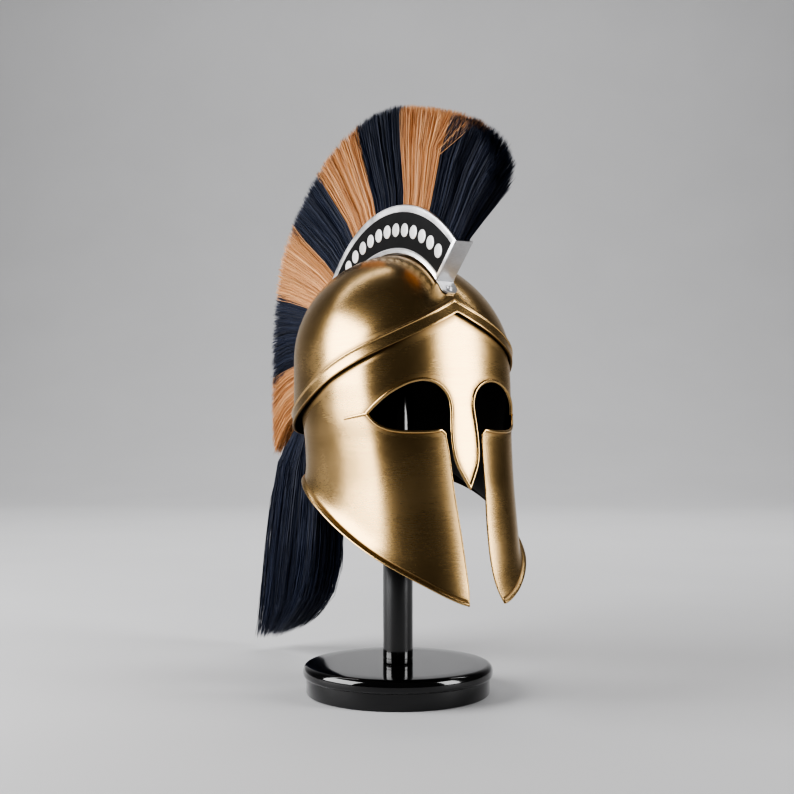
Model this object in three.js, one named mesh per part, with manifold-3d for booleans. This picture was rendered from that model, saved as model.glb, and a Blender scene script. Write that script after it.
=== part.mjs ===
// A crested Greek bronze helmet on a turned display stand.
// Units are millimetres, +Z is up and the helmet faces -Y. The origin is the
// middle of the stand's underside, on the axis of its post.
import * as THREE from 'three';
import { ParametricGeometry } from 'three/addons/geometries/ParametricGeometry.js';
import { mergeVertices } from 'three/addons/utils/BufferGeometryUtils.js';
import Module from 'manifold-3d';

const wasm = await Module();
wasm.setup();

// ---------------------------------------------------------------- driving dimensions

const SHEET = 1.4;            // thickness of the bronze sheet
const JOINT_GAP = 0.3;        // clearance left between two touching pieces
const TURNS = 40;             // facets round the helmet's shell
const SHELL_CENTRE = 10;      // how far the middle of the shell lies in front of the post

const DOME = {
  centreHeight: 312,          // height of the widest level
  rise: 98,                   // from the widest level to the crown
  half: 95,                   // half width
  front: 97,                  // reach forward of the shell centre
  rear: 126.5,                // reach behind the shell centre
  crownSetBack: 12,           // the crown lies this far behind the shell centre
  cornerLow: 2.3,             // squareness of the front at the widest level
  cornerHigh: 1.7,            // squareness of the front near the crown
  bulgeFront: 2.15,           // fullness of the upright curve at the front
  bulgeSide: 1.95,
  bulgeRear: 2.0,
};

const BAND = {
  height: 12.5,               // raised band along the dome's lower edge
  proud: 1.3,
  lip: 2.1,                   // the narrow ridge along the band's upper edge
  lipHeight: 1.5,
  maskLap: 9,                 // how far the mask reaches up inside the band
  maskGap: 1.05,              // clearance between the mask and the dome
  maskFree: 4,                // the mask keeps its own shape down from here below the band
};

// Lower edge of the dome's band: height against the angle from the front.
const BAND_EDGE = [
  { angle: 0, z: 349 },
  { angle: 30, z: 325 },
  { angle: 60, z: 301 },
  { angle: 90, z: 277 },
  { angle: 110, z: 262.5 },
  { angle: 135, z: 248 },
  { angle: 160, z: 241 },
  { angle: 180, z: 239 },
];

// Level sections of the face mask and neck guard.
const MASK_SECTIONS = [
  { z: 92, front: 150, half: 85, rear: 88 },
  { z: 98, front: 147, half: 85, rear: 88 },
  { z: 125, front: 136, half: 86.2, rear: 89 },
  { z: 160, front: 127.5, half: 87.3, rear: 90.5 },
  { z: 200, front: 120, half: 87, rear: 92 },
  { z: 235, front: 113.6, half: 88.5, rear: 93 },
  { z: 254, front: 110.6, half: 90, rear: 99 },
  { z: 272, front: 107.8, half: 91, rear: 109 },
  { z: 290, front: 105, half: 92, rear: 113 },
  { z: 360, front: 96, half: 92, rear: 113 },
];
const MASK_CORNER = 2.5;      // squareness of the mask's front half
const MASK_ROWS = [0.06, 0.14, 0.28, 0.44, 0.6, 0.76, 0.88, 1];

// Lower rim of the mask: height, and how far the rim is rolled outwards.
const MASK_RIM = [
  { angle: 0, z: 98, flare: 0.5 },
  { angle: 8, z: 99, flare: 0.8 },
  { angle: 15, z: 105.5, flare: 1.5 },
  { angle: 23, z: 115, flare: 2.5 },
  { angle: 32, z: 125, flare: 3.8 },
  { angle: 40, z: 133.2, flare: 5 },
  { angle: 60, z: 153.3, flare: 6.5 },
  { angle: 75, z: 166.5, flare: 6.5 },
  { angle: 91, z: 179, flare: 6 },
  { angle: 105, z: 188.5, flare: 5 },
  { angle: 120, z: 196, flare: 4 },
  { angle: 150, z: 204, flare: 4.5 },
  { angle: 180, z: 206, flare: 5 },
];
const FLARE_FADE = 6;         // height over which the rolled rim fades into the wall

// Half of the face opening: up the cheek's edge, round the eye and down the nasal.
const CHEEK_EDGE = [
  { angle: 7.8, z: 99 },
  { angle: 6.5, z: 113 },
  { angle: 6.3, z: 133 },
  { angle: 6.9, z: 159 },
  { angle: 8.6, z: 196 },
  { angle: 9.6, z: 225 },
  { angle: 10.8, z: 243 },
];
const EYE_LOWER = [
  { angle: 12.8, z: 246.2 },
  { angle: 18, z: 245 },
  { angle: 25, z: 244.8 },
  { angle: 32, z: 245 },
  { angle: 38, z: 246.2 },
  { angle: 43.2, z: 250 },
  { angle: 47, z: 255 },
  { angle: 50, z: 260.3 },
];
const EYE_UPPER = [
  { angle: 45.2, z: 268.5 },
  { angle: 38.7, z: 278 },
  { angle: 33, z: 284 },
  { angle: 27.2, z: 288.3 },
  { angle: 20.8, z: 290 },
  { angle: 14.8, z: 287.6 },
  { angle: 9.9, z: 281.5 },
];
const NASAL_EDGE = [
  { angle: 7.2, z: 273 },
  { angle: 6.6, z: 264 },
  { angle: 7, z: 252 },
  { angle: 7.2, z: 240 },
  { angle: 6.8, z: 228 },
  { angle: 5.4, z: 217 },
  { angle: 2.9, z: 207 },
];
const NASAL_TIP = { angle: 0, z: 197 };
const EYE_TAIL = { from: { angle: 49, z: 260.2 }, to: { angle: 64, z: 256 }, radius: 1.9 };
const EDGE_BEAD = { radius: 1.8, sides: 4 };
// Cross-section of the rolled lower rim: height above the edge, and how far it stands out.
const RIM_ROLL = [
  { above: 0, out: -0.7 },
  { above: 0.4, out: 1 },
  { above: 1.9, out: 1.8 },
  { above: 3.4, out: 1 },
  { above: 3.8, out: 0 },
];

const LINER = {
  thickness: 2,
  gap: 1.6,
  turns: 24,
  top: 332,
  rows: [0, 0.15, 0.3, 0.47, 0.63, 1],
  edge: [
    { angle: 0, z: 300 },
    { angle: 50, z: 300 },
    { angle: 61, z: 205 },
    { angle: 72, z: 182 },
    { angle: 95, z: 190 },
    { angle: 120, z: 208 },
    { angle: 150, z: 216 },
    { angle: 180, z: 218 },
  ],
};

// The crest lies in the middle plane. Its angles are taken about this centre, from
// straight up, positive towards the front.
const CREST = {
  centre: { forward: 3, z: 303 },
  frontAngle: 45.5,
  rearAngle: -105,
  outer: 152.5,               // outer rail at the front and top
  outerRearGain: 12,          // how much further out the outer rail lies at the nape
  domeGap: 1.2,
  halfWidth: 8,               // over the side walls, without the rails
  wall: 1.5,
  railProud: 1.2,
  outerRail: 6,
  innerRail: 5,
  stile: 3.6,                 // the upright rail at each end
  steps: 22,
};
const INLAY = { thickness: 0.6, clearance: 0.6 };
const STUD = { radius: 6.5, proud: 0.9, sides: 7, first: 38.6, pitch: 7, count: 20 };
const BRACKET = {
  thickness: 1.5,
  inset: 0.25,                // degrees that the plate bites into the side walls' ends
  footLift: 3.5,              // the plate ends this far above the dome
  tabLength: 15,
  clip: 4,                    // cut off each lower corner of the front tab
  standOff: 0.4,              // clearance between the tab and the dome
};
const RIVET = { radius: 2.6, height: 1.9, sides: 12, headGap: 0.3, aboveTabEnd: 5 };

// Radius of the plume's tips about the crest centre.
const PLUME_REACH = [
  { angle: -112, radius: 260 },
  { angle: -90, radius: 252 },
  { angle: -75, radius: 256 },
  { angle: -60, radius: 262 },
  { angle: -50, radius: 257 },
  { angle: -37, radius: 253 },
  { angle: -14, radius: 246 },
  { angle: 0, radius: 243 },
  { angle: 12, radius: 238 },
  { angle: 36, radius: 233 },
  { angle: 48, radius: 224 },
];
// Edges of the plume's colour bands, from the front to the rear.
const PLUME_EDGES = [
  { root: 44.6, tip: 47.5 },
  { root: 23.3, tip: 26.9 },
  { root: 7, tip: 5.3 },
  { root: -11.8, tip: -15.2 },
  { root: -29.2, tip: -35.4 },
  { root: -48.5, tip: -51.9 },
  { root: -66, tip: -70.2 },
  { root: -82, tip: -92 },
  { root: -93.5, tip: -109 },
];
const PLUME = {
  rootHalf: 6,                // half thickness inside the crest
  tipHalf: 14,
  floorGap: 3.6,              // the hair starts this far above the crest's inner edge
  mouthLift: 1.5,             // it starts to spread this far above the outer rail
  edgeGap: 0.13,              // degrees left between neighbouring bands
  locks: 4,
  scallop: 0.035,             // how far the ends of the locks step in between them
  groove: 0.24,               // how deep the valleys between locks are
  rows: [0, 0.34, 0.6, 0.85, 1],
};
// The long hair at the rear: its outer and its inner edge, from below the crest to the tip.
const TAIL_ROOT = { outer: -93.8, inner: -103.4 };
const TAIL_MOUTH = { outer: -97, inner: -103.4 };
const TAIL_LIFT = 8;          // how much shorter the hair is between the tail's locks
const TAIL_ROWS = [
  { outer: [-203, 244], inner: [-154, 235], half: 10 },
  { outer: [-236, 206], inner: [-140, 190], half: 15 },
  { outer: [-251, 145], inner: [-138, 140], half: 18 },
  { outer: [-264, 82], inner: [-147, 95], half: 19 },
  { outer: [-276, 34], inner: [-172, 60], half: 18 },
  { outer: [-291, 9], inner: [-222, 30], half: 14 },
];

const STAND = {
  postRadius: 14,
  postTop: 380,
  base: [
    [0, 0], [84.5, 0], [86, 1.5], [86, 15.5], [87.4, 16.4], [89, 19.5],
    [89, 23], [87.2, 26.4], [83.5, 28], [0, 28],
  ],
  baseTop: 28,
  head: [[0, 0], [43, 0], [45, 2], [45, 12.5], [30, 20], [15, 24.4], [0, 25.8]],
  turns: 30,
};

// ---------------------------------------------------------------- materials

function finish(color, metalness, roughness) {
  return { color, metalness, roughness };
}

const FINISHES = {
  brass: finish(0xb08d57, 1, 0.28),
  silver: finish(0xc4c6c9, 1, 0.32),
  inlay: finish(0x17181b, 0, 0.6),
  navyHair: finish(0x16202f, 0, 0.8),
  gingerHair: finish(0xc08a5c, 0, 0.8),
  leather: finish(0x2b2622, 0, 0.7),
  blackGloss: finish(0x08080a, 0, 0.12),
};

// ---------------------------------------------------------------- helpers

const RAD = Math.PI / 180;

// A smooth curve through a table's rows: returns column `y` as a function of column `x`.
function through(rows, x, y) {
  const slope = rows.map((_, i) => {
    const before = rows[Math.max(i - 1, 0)];
    const after = rows[Math.min(i + 1, rows.length - 1)];
    return (after[y] - before[y]) / (after[x] - before[x]);
  });
  return (value) => {
    let i = 0;
    while (i < rows.length - 2 && value > rows[i + 1][x]) i += 1;
    const step = rows[i + 1][x] - rows[i][x];
    const t = THREE.MathUtils.clamp((value - rows[i][x]) / step, 0, 1);
    const s = 1 - t;
    return rows[i][y] * (1 + 2 * t) * s * s + slope[i] * step * t * s * s
      + rows[i + 1][y] * (3 - 2 * t) * t * t - slope[i + 1] * step * t * t * s;
  };
}

// A closed geometry as a solid: shared vertices are merged and flat slivers dropped.
function solid(geometry) {
  const bare = geometry.clone();
  bare.deleteAttribute('normal');
  bare.deleteAttribute('uv');
  const merged = mergeVertices(bare, 1e-3);
  const index = merged.index.array;
  const position = merged.getAttribute('position').array;
  const triangles = [];
  for (let i = 0; i < index.length; i += 3) {
    const [a, b, c] = [index[i], index[i + 1], index[i + 2]];
    if (a !== b && b !== c && a !== c) triangles.push(a, b, c);
  }
  const volume = signedVolume(position, triangles);
  if (volume < 0) triangles.reverse();
  return new wasm.Manifold(new wasm.Mesh({
    numProp: 3,
    vertProperties: new Float32Array(position),
    triVerts: new Uint32Array(triangles),
  }));
}

function signedVolume(position, triangles) {
  const corner = (i) => new THREE.Vector3().fromArray(position, 3 * triangles[i]);
  let total = 0;
  for (let i = 0; i < triangles.length; i += 3) {
    total += corner(i).dot(corner(i + 1).cross(corner(i + 2)));
  }
  return total / 6;
}

function geometryOf(body) {
  const { vertProperties, triVerts } = body.getMesh();
  const geometry = new THREE.BufferGeometry();
  geometry.setAttribute('position', new THREE.BufferAttribute(vertProperties, 3));
  geometry.setIndex(new THREE.BufferAttribute(triVerts, 1));
  geometry.computeVertexNormals();
  return geometry;
}

const helmet = new THREE.Group();

function addPiece(name, body, look) {
  const mesh = new THREE.Mesh(geometryOf(body), new THREE.MeshStandardMaterial(look));
  mesh.name = name;
  helmet.add(mesh);
}

// A surface given by a function of whole steps round and along it.
function surface(point, around, along) {
  const place = (u, v, target) => {
    const turn = Math.round(u * around) % around;
    target.copy(point(turn, Math.round(v * along)));
  };
  return solid(new ParametricGeometry(place, around, along));
}

// A wall that goes all the way round: `loop` lists the rows of its cross-section.
function ringWall(turns, loop) {
  return surface((turn, row) => loop[row % loop.length](360 * turn / turns), turns, loop.length);
}

// A path with one step from each of its points to the next.
class PointPath extends THREE.Curve {
  constructor(points) {
    super();
    this.points = points;
  }

  getPoint(t, target = new THREE.Vector3()) {
    const place = t * (this.points.length - 1);
    const i = THREE.MathUtils.clamp(Math.floor(place), 0, this.points.length - 2);
    return target.lerpVectors(this.points[i], this.points[i + 1], place - i);
  }

  getUtoTmapping(u) {
    return u;
  }
}

function pathBar(points, radius, sides) {
  const corners = Array.from({ length: sides }, (_, i) => {
    const turn = 2 * Math.PI * i / sides;
    return new THREE.Vector2(radius * Math.cos(turn), radius * Math.sin(turn));
  });
  return solid(new THREE.ExtrudeGeometry(new THREE.Shape(corners), {
    steps: points.length - 1,
    extrudePath: new PointPath(points),
  }));
}

// ---------------------------------------------------------------- shell surfaces

// Distance from the shell centre to a rounded section, `angle` degrees from the front.
function sectionRadius(angle, half, front, rear, corner) {
  const across = Math.abs(Math.sin(angle * RAD));
  const ahead = Math.cos(angle * RAD);
  const reach = ahead > 0 ? front : rear;
  const power = ahead > 0 ? corner : 2;
  return ((across / half) ** power + (Math.abs(ahead) / reach) ** power) ** (-1 / power);
}

function shellPoint(angle, radius, z, centre = SHELL_CENTRE) {
  return new THREE.Vector3(-radius * Math.sin(angle * RAD), -(centre + radius * Math.cos(angle * RAD)), z);
}

// Angle from the front, from 0 to 180 on either side.
function fromFront(angle) {
  const turn = ((angle % 360) + 360) % 360;
  return Math.min(turn, 360 - turn);
}

const bandEdge = through(BAND_EDGE, 'angle', 'z');
const rimHeight = through(MASK_RIM, 'angle', 'z');
const rimFlare = through(MASK_RIM, 'angle', 'flare');
const maskFront = through(MASK_SECTIONS, 'z', 'front');
const maskHalf = through(MASK_SECTIONS, 'z', 'half');
const maskRear = through(MASK_SECTIONS, 'z', 'rear');

// A point of the dome, `proud` mm outside its outer surface.
function domeSection(angle, z, proud) {
  const lift = THREE.MathUtils.clamp((z - DOME.centreHeight) / (DOME.rise + proud), 0, 1);
  const shrink = (power) => Math.max(0, 1 - lift ** power) ** (1 / power);
  const corner = THREE.MathUtils.lerp(DOME.cornerLow, DOME.cornerHigh, lift);
  const centre = SHELL_CENTRE - DOME.crownSetBack * lift ** 2;
  if (lift >= 1) return { radius: 0, centre };
  const radius = sectionRadius(
    angle,
    (DOME.half + proud) * shrink(DOME.bulgeSide),
    (DOME.front + proud) * shrink(DOME.bulgeFront),
    (DOME.rear + proud) * shrink(DOME.bulgeRear),
    corner,
  );
  return { radius, centre };
}

function domePoint(angle, z, proud) {
  const { radius, centre } = domeSection(angle, z, proud);
  return shellPoint(angle, radius, z, centre);
}

// Radius of the mask's outer surface; under the dome's band it stays inside the dome.
function maskRadius(angle, z) {
  const turn = fromFront(angle);
  const wall = sectionRadius(
    turn,
    maskHalf(z),
    maskFront(z) - SHELL_CENTRE,
    maskRear(z) + SHELL_CENTRE,
    MASK_CORNER,
  );
  const above = Math.max(0, z - rimHeight(turn));
  const flared = wall + rimFlare(turn) * Math.exp(-above / FLARE_FADE);
  if (z < bandEdge(turn) - BAND.maskFree) return flared;
  const inside = domeSection(turn, z, -SHEET - BAND.maskGap);
  const limit = inside.radius - (SHELL_CENTRE - inside.centre) * Math.cos(turn * RAD);
  return Math.min(flared, limit);
}

// ---------------------------------------------------------------- skull dome

function skullDome() {
  const lowest = (angle) => bandEdge(fromFront(angle));
  const level = (above, proud) => (angle) => domePoint(angle, lowest(angle) + above, proud);
  const upward = (share, proud) => (angle) => {
    const start = lowest(angle) + BAND.height + BAND.lipHeight;
    const crown = DOME.centreHeight + DOME.rise + proud;
    return domePoint(angle, THREE.MathUtils.lerp(start, crown, Math.sin(share * Math.PI / 2)), proud);
  };
  const shares = [0.12, 0.27, 0.42, 0.57, 0.72, 0.86, 1];
  const rows = [
    ...shares.map((share) => upward(share, -SHEET)).reverse(),
    level(BAND.height, -SHEET),
    level(0, -SHEET),
    level(0, BAND.proud),
    level(BAND.height - BAND.lipHeight, BAND.proud),
    level(BAND.height - BAND.lipHeight, BAND.lip),
    level(BAND.height, BAND.lip),
    level(BAND.height + 0.4, 0),
    ...shares.map((share) => upward(share, 0)),
  ];
  const point = (turn, row) => rows[row](360 * turn / TURNS);
  return surface(point, TURNS, rows.length - 1);
}

// ---------------------------------------------------------------- face mask

// Points of half the face opening, from the cheek's tip to the tip of the nasal.
function openingHalf() {
  return [...CHEEK_EDGE, ...EYE_LOWER, ...EYE_UPPER, ...NASAL_EDGE];
}

function openingOutline() {
  const near = openingHalf();
  const far = near.map(({ angle, z }) => ({ angle: -angle, z })).reverse();
  return [...near, NASAL_TIP, ...far];
}

// The face opening as a radial cutter through the wall.
function openingCutter() {
  const inside = 50;
  const outside = 290;
  const below = 80;
  const outline = openingOutline();
  const first = outline[0];
  const corners = [{ angle: first.angle, z: below }, ...outline, { angle: -first.angle, z: below }];
  const shape = new THREE.Shape(corners.map(({ angle, z }) => new THREE.Vector2(angle, z)));
  const geometry = new THREE.ExtrudeGeometry(shape, { depth: 1, steps: 1, bevelEnabled: false });
  const position = geometry.getAttribute('position');
  for (let i = 0; i < position.count; i += 1) {
    const radius = THREE.MathUtils.lerp(inside, outside, position.getZ(i));
    const { x, y, z } = shellPoint(position.getX(i), radius, position.getY(i));
    position.setXYZ(i, x, y, z);
  }
  return solid(geometry);
}

function maskPoint(angle, z, outwards = 0) {
  return shellPoint(angle, maskRadius(angle, z) + outwards, z);
}

function maskWall() {
  const height = (angle, share) => {
    const turn = fromFront(angle);
    return THREE.MathUtils.lerp(rimHeight(turn), bandEdge(turn) + BAND.maskLap, share);
  };
  const row = (share, outwards) => (angle) => maskPoint(angle, height(angle, share), outwards);
  const rim = ({ above, out }) => (angle) => maskPoint(angle, rimHeight(fromFront(angle)) + above, out);
  const outer = MASK_ROWS.map((share) => row(share, 0));
  const inner = [0.02, ...MASK_ROWS].map((share) => row(share, -SHEET)).reverse();
  return ringWall(TURNS, [...RIM_ROLL.map(rim), ...outer, ...inner]);
}

function faceMask() {
  const edgePath = openingOutline().map(({ angle, z }) => maskPoint(angle, z, -SHEET / 2));
  let mask = maskWall().subtract(openingCutter()).add(pathBar(edgePath, EDGE_BEAD.radius, EDGE_BEAD.sides));
  for (const side of [1, -1]) {
    const tail = [0, 0.5, 1].map((t) => maskPoint(
      side * THREE.MathUtils.lerp(EYE_TAIL.from.angle, EYE_TAIL.to.angle, t),
      THREE.MathUtils.lerp(EYE_TAIL.from.z, EYE_TAIL.to.z, t),
    ));
    mask = mask.add(pathBar(tail, EYE_TAIL.radius, EDGE_BEAD.sides));
  }
  return mask;
}

// ---------------------------------------------------------------- liner

function leatherLiner() {
  const edge = through(LINER.edge, 'angle', 'z');
  const place = (angle, share, inwards) => {
    const turn = fromFront(angle);
    const z = THREE.MathUtils.lerp(edge(turn), LINER.top, share);
    return maskPoint(angle, z, -SHEET - LINER.gap - inwards);
  };
  const outer = LINER.rows.map((share) => (angle) => place(angle, share, 0));
  const inner = LINER.rows.map((share) => (angle) => place(angle, share, LINER.thickness)).reverse();
  return ringWall(LINER.turns, [...outer, ...inner]);
}

// ---------------------------------------------------------------- crest frame

// A point of the middle plane as (forward, height), from an angle and a radius.
function crestPoint(angle, radius) {
  return new THREE.Vector2(
    CREST.centre.forward + radius * Math.sin(angle * RAD),
    CREST.centre.z + radius * Math.cos(angle * RAD),
  );
}

// Forward reach of the dome in the middle plane, negative behind the centre.
function domeReach(z, ahead) {
  const { radius, centre } = domeSection(ahead ? 0 : 180, z, 0);
  return ahead ? centre + radius : centre - radius;
}

function insideDome(point) {
  if (point.y > DOME.centreHeight + DOME.rise) return false;
  return point.x > domeReach(point.y, false) && point.x < domeReach(point.y, true);
}

// Radius at which a ray from the crest centre leaves the dome.
function domeRadius(angle) {
  let low = 60;
  let high = 160;
  for (let i = 0; i < 24; i += 1) {
    const middle = (low + high) / 2;
    if (insideDome(crestPoint(angle, middle))) low = middle;
    else high = middle;
  }
  return high;
}

const crestInner = (angle) => domeRadius(angle) + CREST.domeGap;
const crestOuter = (angle) => CREST.outer
  + CREST.outerRearGain * THREE.MathUtils.smoothstep(-angle, 45, -CREST.rearAngle);

// A strip of the crest between two radii, from one angle to another.
function crestStrip(inner, outer, from, to, steps) {
  const angles = Array.from({ length: steps + 1 }, (_, i) => THREE.MathUtils.lerp(from, to, i / steps));
  const far = angles.map((angle) => crestPoint(angle, outer(angle)));
  const near = angles.map((angle) => crestPoint(angle, inner(angle))).reverse();
  return new THREE.Shape([...far, ...near]);
}

// A profile of the middle plane, given thickness from x = from to x = to.
function acrossPlane(shape, from, to) {
  const geometry = new THREE.ExtrudeGeometry(shape, { depth: to - from, steps: 1, bevelEnabled: false });
  const turn = new THREE.Matrix4().makeBasis(
    new THREE.Vector3(0, -1, 0),
    new THREE.Vector3(0, 0, 1),
    new THREE.Vector3(-1, 0, 0),
  );
  geometry.applyMatrix4(turn);
  geometry.translate(to, 0, 0);
  return solid(geometry);
}

function mirrored(body) {
  return body.mirror([1, 0, 0]);
}

// The points of a path moved sideways: to the left of its direction, or right if negative.
function offsetPath(points, distance) {
  return points.map((point, i) => {
    const before = points[Math.max(i - 1, 0)];
    const after = points[Math.min(i + 1, points.length - 1)];
    const along = after.clone().sub(before).normalize();
    return new THREE.Vector2(point.x - along.y * distance, point.y + along.x * distance);
  });
}

// An end bracket: a plate along the end of the crest, bent into a tab on the dome.
function bracket(angle, forwards) {
  const side = forwards ? 1 : -1;
  const inset = angle - side * BRACKET.inset;
  const top = crestPoint(inset, crestOuter(angle));
  const foot = crestPoint(inset, domeRadius(angle) + BRACKET.footLift);
  const reach = (z) => domeReach(z, forwards) + side * BRACKET.standOff;
  const tabEnd = foot.y - BRACKET.tabLength;
  const heights = [0.25, 0.6, 1].map((share) => THREE.MathUtils.lerp(foot.y, tabEnd, share));
  const inner = [top, foot, ...heights.map((z) => new THREE.Vector2(reach(z), z))];
  const outer = offsetPath(inner, side * BRACKET.thickness).reverse();
  const strip = acrossPlane(new THREE.Shape([...inner, ...outer]), -CREST.halfWidth, CREST.halfWidth);
  return { strip, top: top.y, tabEnd };
}

// The front bracket's tab has its two lower corners cut off.
function frontBracket() {
  const { strip, top, tabEnd } = bracket(CREST.frontAngle, true);
  const side = CREST.halfWidth + 1;
  const low = side - BRACKET.clip - 1;
  const outline = new THREE.Shape([
    new THREE.Vector2(-side, tabEnd + BRACKET.clip + 1),
    new THREE.Vector2(-low, tabEnd - 1),
    new THREE.Vector2(low, tabEnd - 1),
    new THREE.Vector2(side, tabEnd + BRACKET.clip + 1),
    new THREE.Vector2(side, top + 1),
    new THREE.Vector2(-side, top + 1),
  ]);
  const prism = new THREE.ExtrudeGeometry(outline, { depth: 2 * CREST.outer, steps: 1, bevelEnabled: false });
  prism.rotateX(Math.PI / 2);
  return strip.intersect(solid(prism));
}

function crestFrame() {
  const { frontAngle: front, rearAngle: rear, steps, halfWidth, wall } = CREST;
  const face = halfWidth + CREST.railProud;
  const back = halfWidth - wall;
  const strip = (inner, outer, x0, x1) => acrossPlane(crestStrip(inner, outer, front, rear, steps), x0, x1);
  const stile = (from, to) => acrossPlane(crestStrip(crestInner, crestOuter, from, to, 1), back, face);
  const stileTurn = CREST.stile / CREST.outer / RAD;
  const side = strip(crestInner, crestOuter, back, halfWidth)
    .add(strip((a) => crestOuter(a) - CREST.outerRail, crestOuter, back, face))
    .add(strip(crestInner, (a) => crestInner(a) + CREST.innerRail, back, face))
    .add(stile(front, front - stileTurn))
    .add(stile(rear + stileTurn, rear));
  const floor = strip((a) => crestInner(a) + 0.6, (a) => crestInner(a) + 2.4, -halfWidth + 0.5, halfWidth - 0.5);
  return side.add(mirrored(side)).add(floor)
    .add(frontBracket())
    .add(bracket(rear, false).strip);
}

// The dark strip between the rails with its row of raised round studs.
function crestInlay() {
  const { clearance, thickness } = INLAY;
  const stileTurn = (CREST.stile + 2 * clearance) / CREST.outer / RAD;
  const inner = (a) => crestInner(a) + CREST.innerRail + clearance;
  const outer = (a) => crestOuter(a) - CREST.outerRail - clearance;
  const base = CREST.halfWidth + JOINT_GAP;
  const from = CREST.frontAngle - stileTurn - 1;
  const to = CREST.rearAngle + stileTurn + 1;
  let inlay = acrossPlane(crestStrip(inner, outer, from, to, CREST.steps), base, base + thickness);
  for (let i = 0; i < STUD.count; i += 1) {
    const angle = STUD.first - i * STUD.pitch;
    const middle = crestPoint(angle, (inner(angle) + outer(angle)) / 2);
    const depth = STUD.proud + thickness / 2;
    const stud = new THREE.CylinderGeometry(STUD.radius, STUD.radius, depth, STUD.sides);
    stud.rotateY(angle * RAD);
    stud.rotateZ(Math.PI / 2);
    stud.translate(base + thickness / 2 + depth / 2, -middle.x, middle.y);
    inlay = inlay.add(solid(stud));
  }
  return inlay;
}

// A domed rivet head on a bracket's tab, square to the dome's surface there.
function bracketRivet(angle, forwards) {
  const side = forwards ? 1 : -1;
  const z = bracket(angle, forwards).tabEnd + RIVET.aboveTabEnd;
  const lean = Math.atan2(side * (domeReach(z - 1, forwards) - domeReach(z + 1, forwards)), 2);
  const stand = BRACKET.thickness + RIVET.headGap;
  const reach = domeReach(z, forwards) + side * (BRACKET.standOff + stand * Math.cos(lean));
  const profile = [[0, 0], [1, 0], [0.9, 0.5], [0.55, 0.85], [0, 1]]
    .map(([r, h]) => new THREE.Vector2(r * RIVET.radius, h * RIVET.height));
  const head = new THREE.LatheGeometry(profile, RIVET.sides);
  head.rotateX(forwards ? Math.PI - lean : lean);
  head.translate(0, -reach, z + stand * Math.sin(lean));
  return solid(head);
}

// ---------------------------------------------------------------- plume

const plumeReach = through(PLUME_REACH, 'angle', 'radius');

// A band of hair in locks between two edges of the middle plane. `place` gives the
// (forward, height) of a share across and a row along; `half` the row's half thickness.
function hairBand(place, half, rowCount, locks) {
  const columns = 2 * locks + 1;
  const point = (turn, row) => {
    const far = turn >= columns;
    const column = far ? 2 * columns - 1 - turn : turn;
    const along = THREE.MathUtils.clamp(row - 1, 0, rowCount - 1);
    const share = column / (columns - 1);
    const spot = place(share, along, column % 2 === 0);
    const ridge = column % 2 === 0 ? 1 - PLUME.groove : 1;
    const closed = row === 0 || row === rowCount + 1;
    const x = closed ? 0 : half(along) * (along > 1 ? ridge : 1);
    return new THREE.Vector3(far ? x : -x, -spot.x, spot.y);
  };
  return surface(point, 2 * columns, rowCount + 1);
}

function fanBand(front, rear) {
  const rows = PLUME.rows;
  const place = (share, row, valley) => {
    const along = rows[row];
    const bend = along ** 1.5;
    const start = THREE.MathUtils.lerp(front.root, front.tip, bend) - PLUME.edgeGap;
    const end = THREE.MathUtils.lerp(rear.root, rear.tip, bend) + PLUME.edgeGap;
    const angle = THREE.MathUtils.lerp(start, end, share);
    const root = crestInner(angle) + PLUME.floorGap;
    const mouth = crestOuter(angle) + PLUME.mouthLift;
    if (row === 0) return crestPoint(angle, root);
    const stepIn = valley && row === rows.length - 1 ? 1 - PLUME.scallop : 1;
    const rise = (along - rows[1]) / (1 - rows[1]);
    return crestPoint(angle, THREE.MathUtils.lerp(mouth, plumeReach(angle) * stepIn, rise));
  };
  const half = (row) => {
    const rise = Math.max(0, (rows[row] - rows[1]) / (1 - rows[1]));
    return THREE.MathUtils.lerp(PLUME.rootHalf, PLUME.tipHalf, Math.sin(rise * Math.PI / 2));
  };
  return hairBand(place, half, rows.length, PLUME.locks);
}

function tailBand() {
  const crestRow = ({ outer, inner }, radius) => ({
    outer: crestPoint(outer, radius(outer)).toArray(),
    inner: crestPoint(inner, radius(inner)).toArray(),
    half: PLUME.rootHalf,
  });
  const rows = [
    crestRow(TAIL_ROOT, (angle) => crestInner(angle) + PLUME.floorGap),
    crestRow(TAIL_MOUTH, (angle) => crestOuter(angle) + PLUME.mouthLift),
    ...TAIL_ROWS,
  ];
  const place = (share, row, valley) => {
    const { outer, inner } = rows[row];
    const spot = new THREE.Vector2().fromArray(outer).lerp(new THREE.Vector2().fromArray(inner), share);
    if (valley && row === rows.length - 1) spot.y += TAIL_LIFT;
    return spot;
  };
  return hairBand(place, (row) => rows[row].half, rows.length, PLUME.locks);
}

// ---------------------------------------------------------------- display stand

function turned(profile, turns) {
  return solid(new THREE.LatheGeometry(profile.map(([r, z]) => new THREE.Vector2(r, z)), turns)
    .rotateX(Math.PI / 2));
}

function standPost() {
  const length = STAND.postTop - STAND.baseTop - JOINT_GAP;
  const post = new THREE.CylinderGeometry(STAND.postRadius, STAND.postRadius, length, 24);
  post.rotateX(Math.PI / 2);
  post.translate(0, 0, STAND.baseTop + JOINT_GAP + length / 2);
  return solid(post);
}

// ---------------------------------------------------------------- assembly

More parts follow.
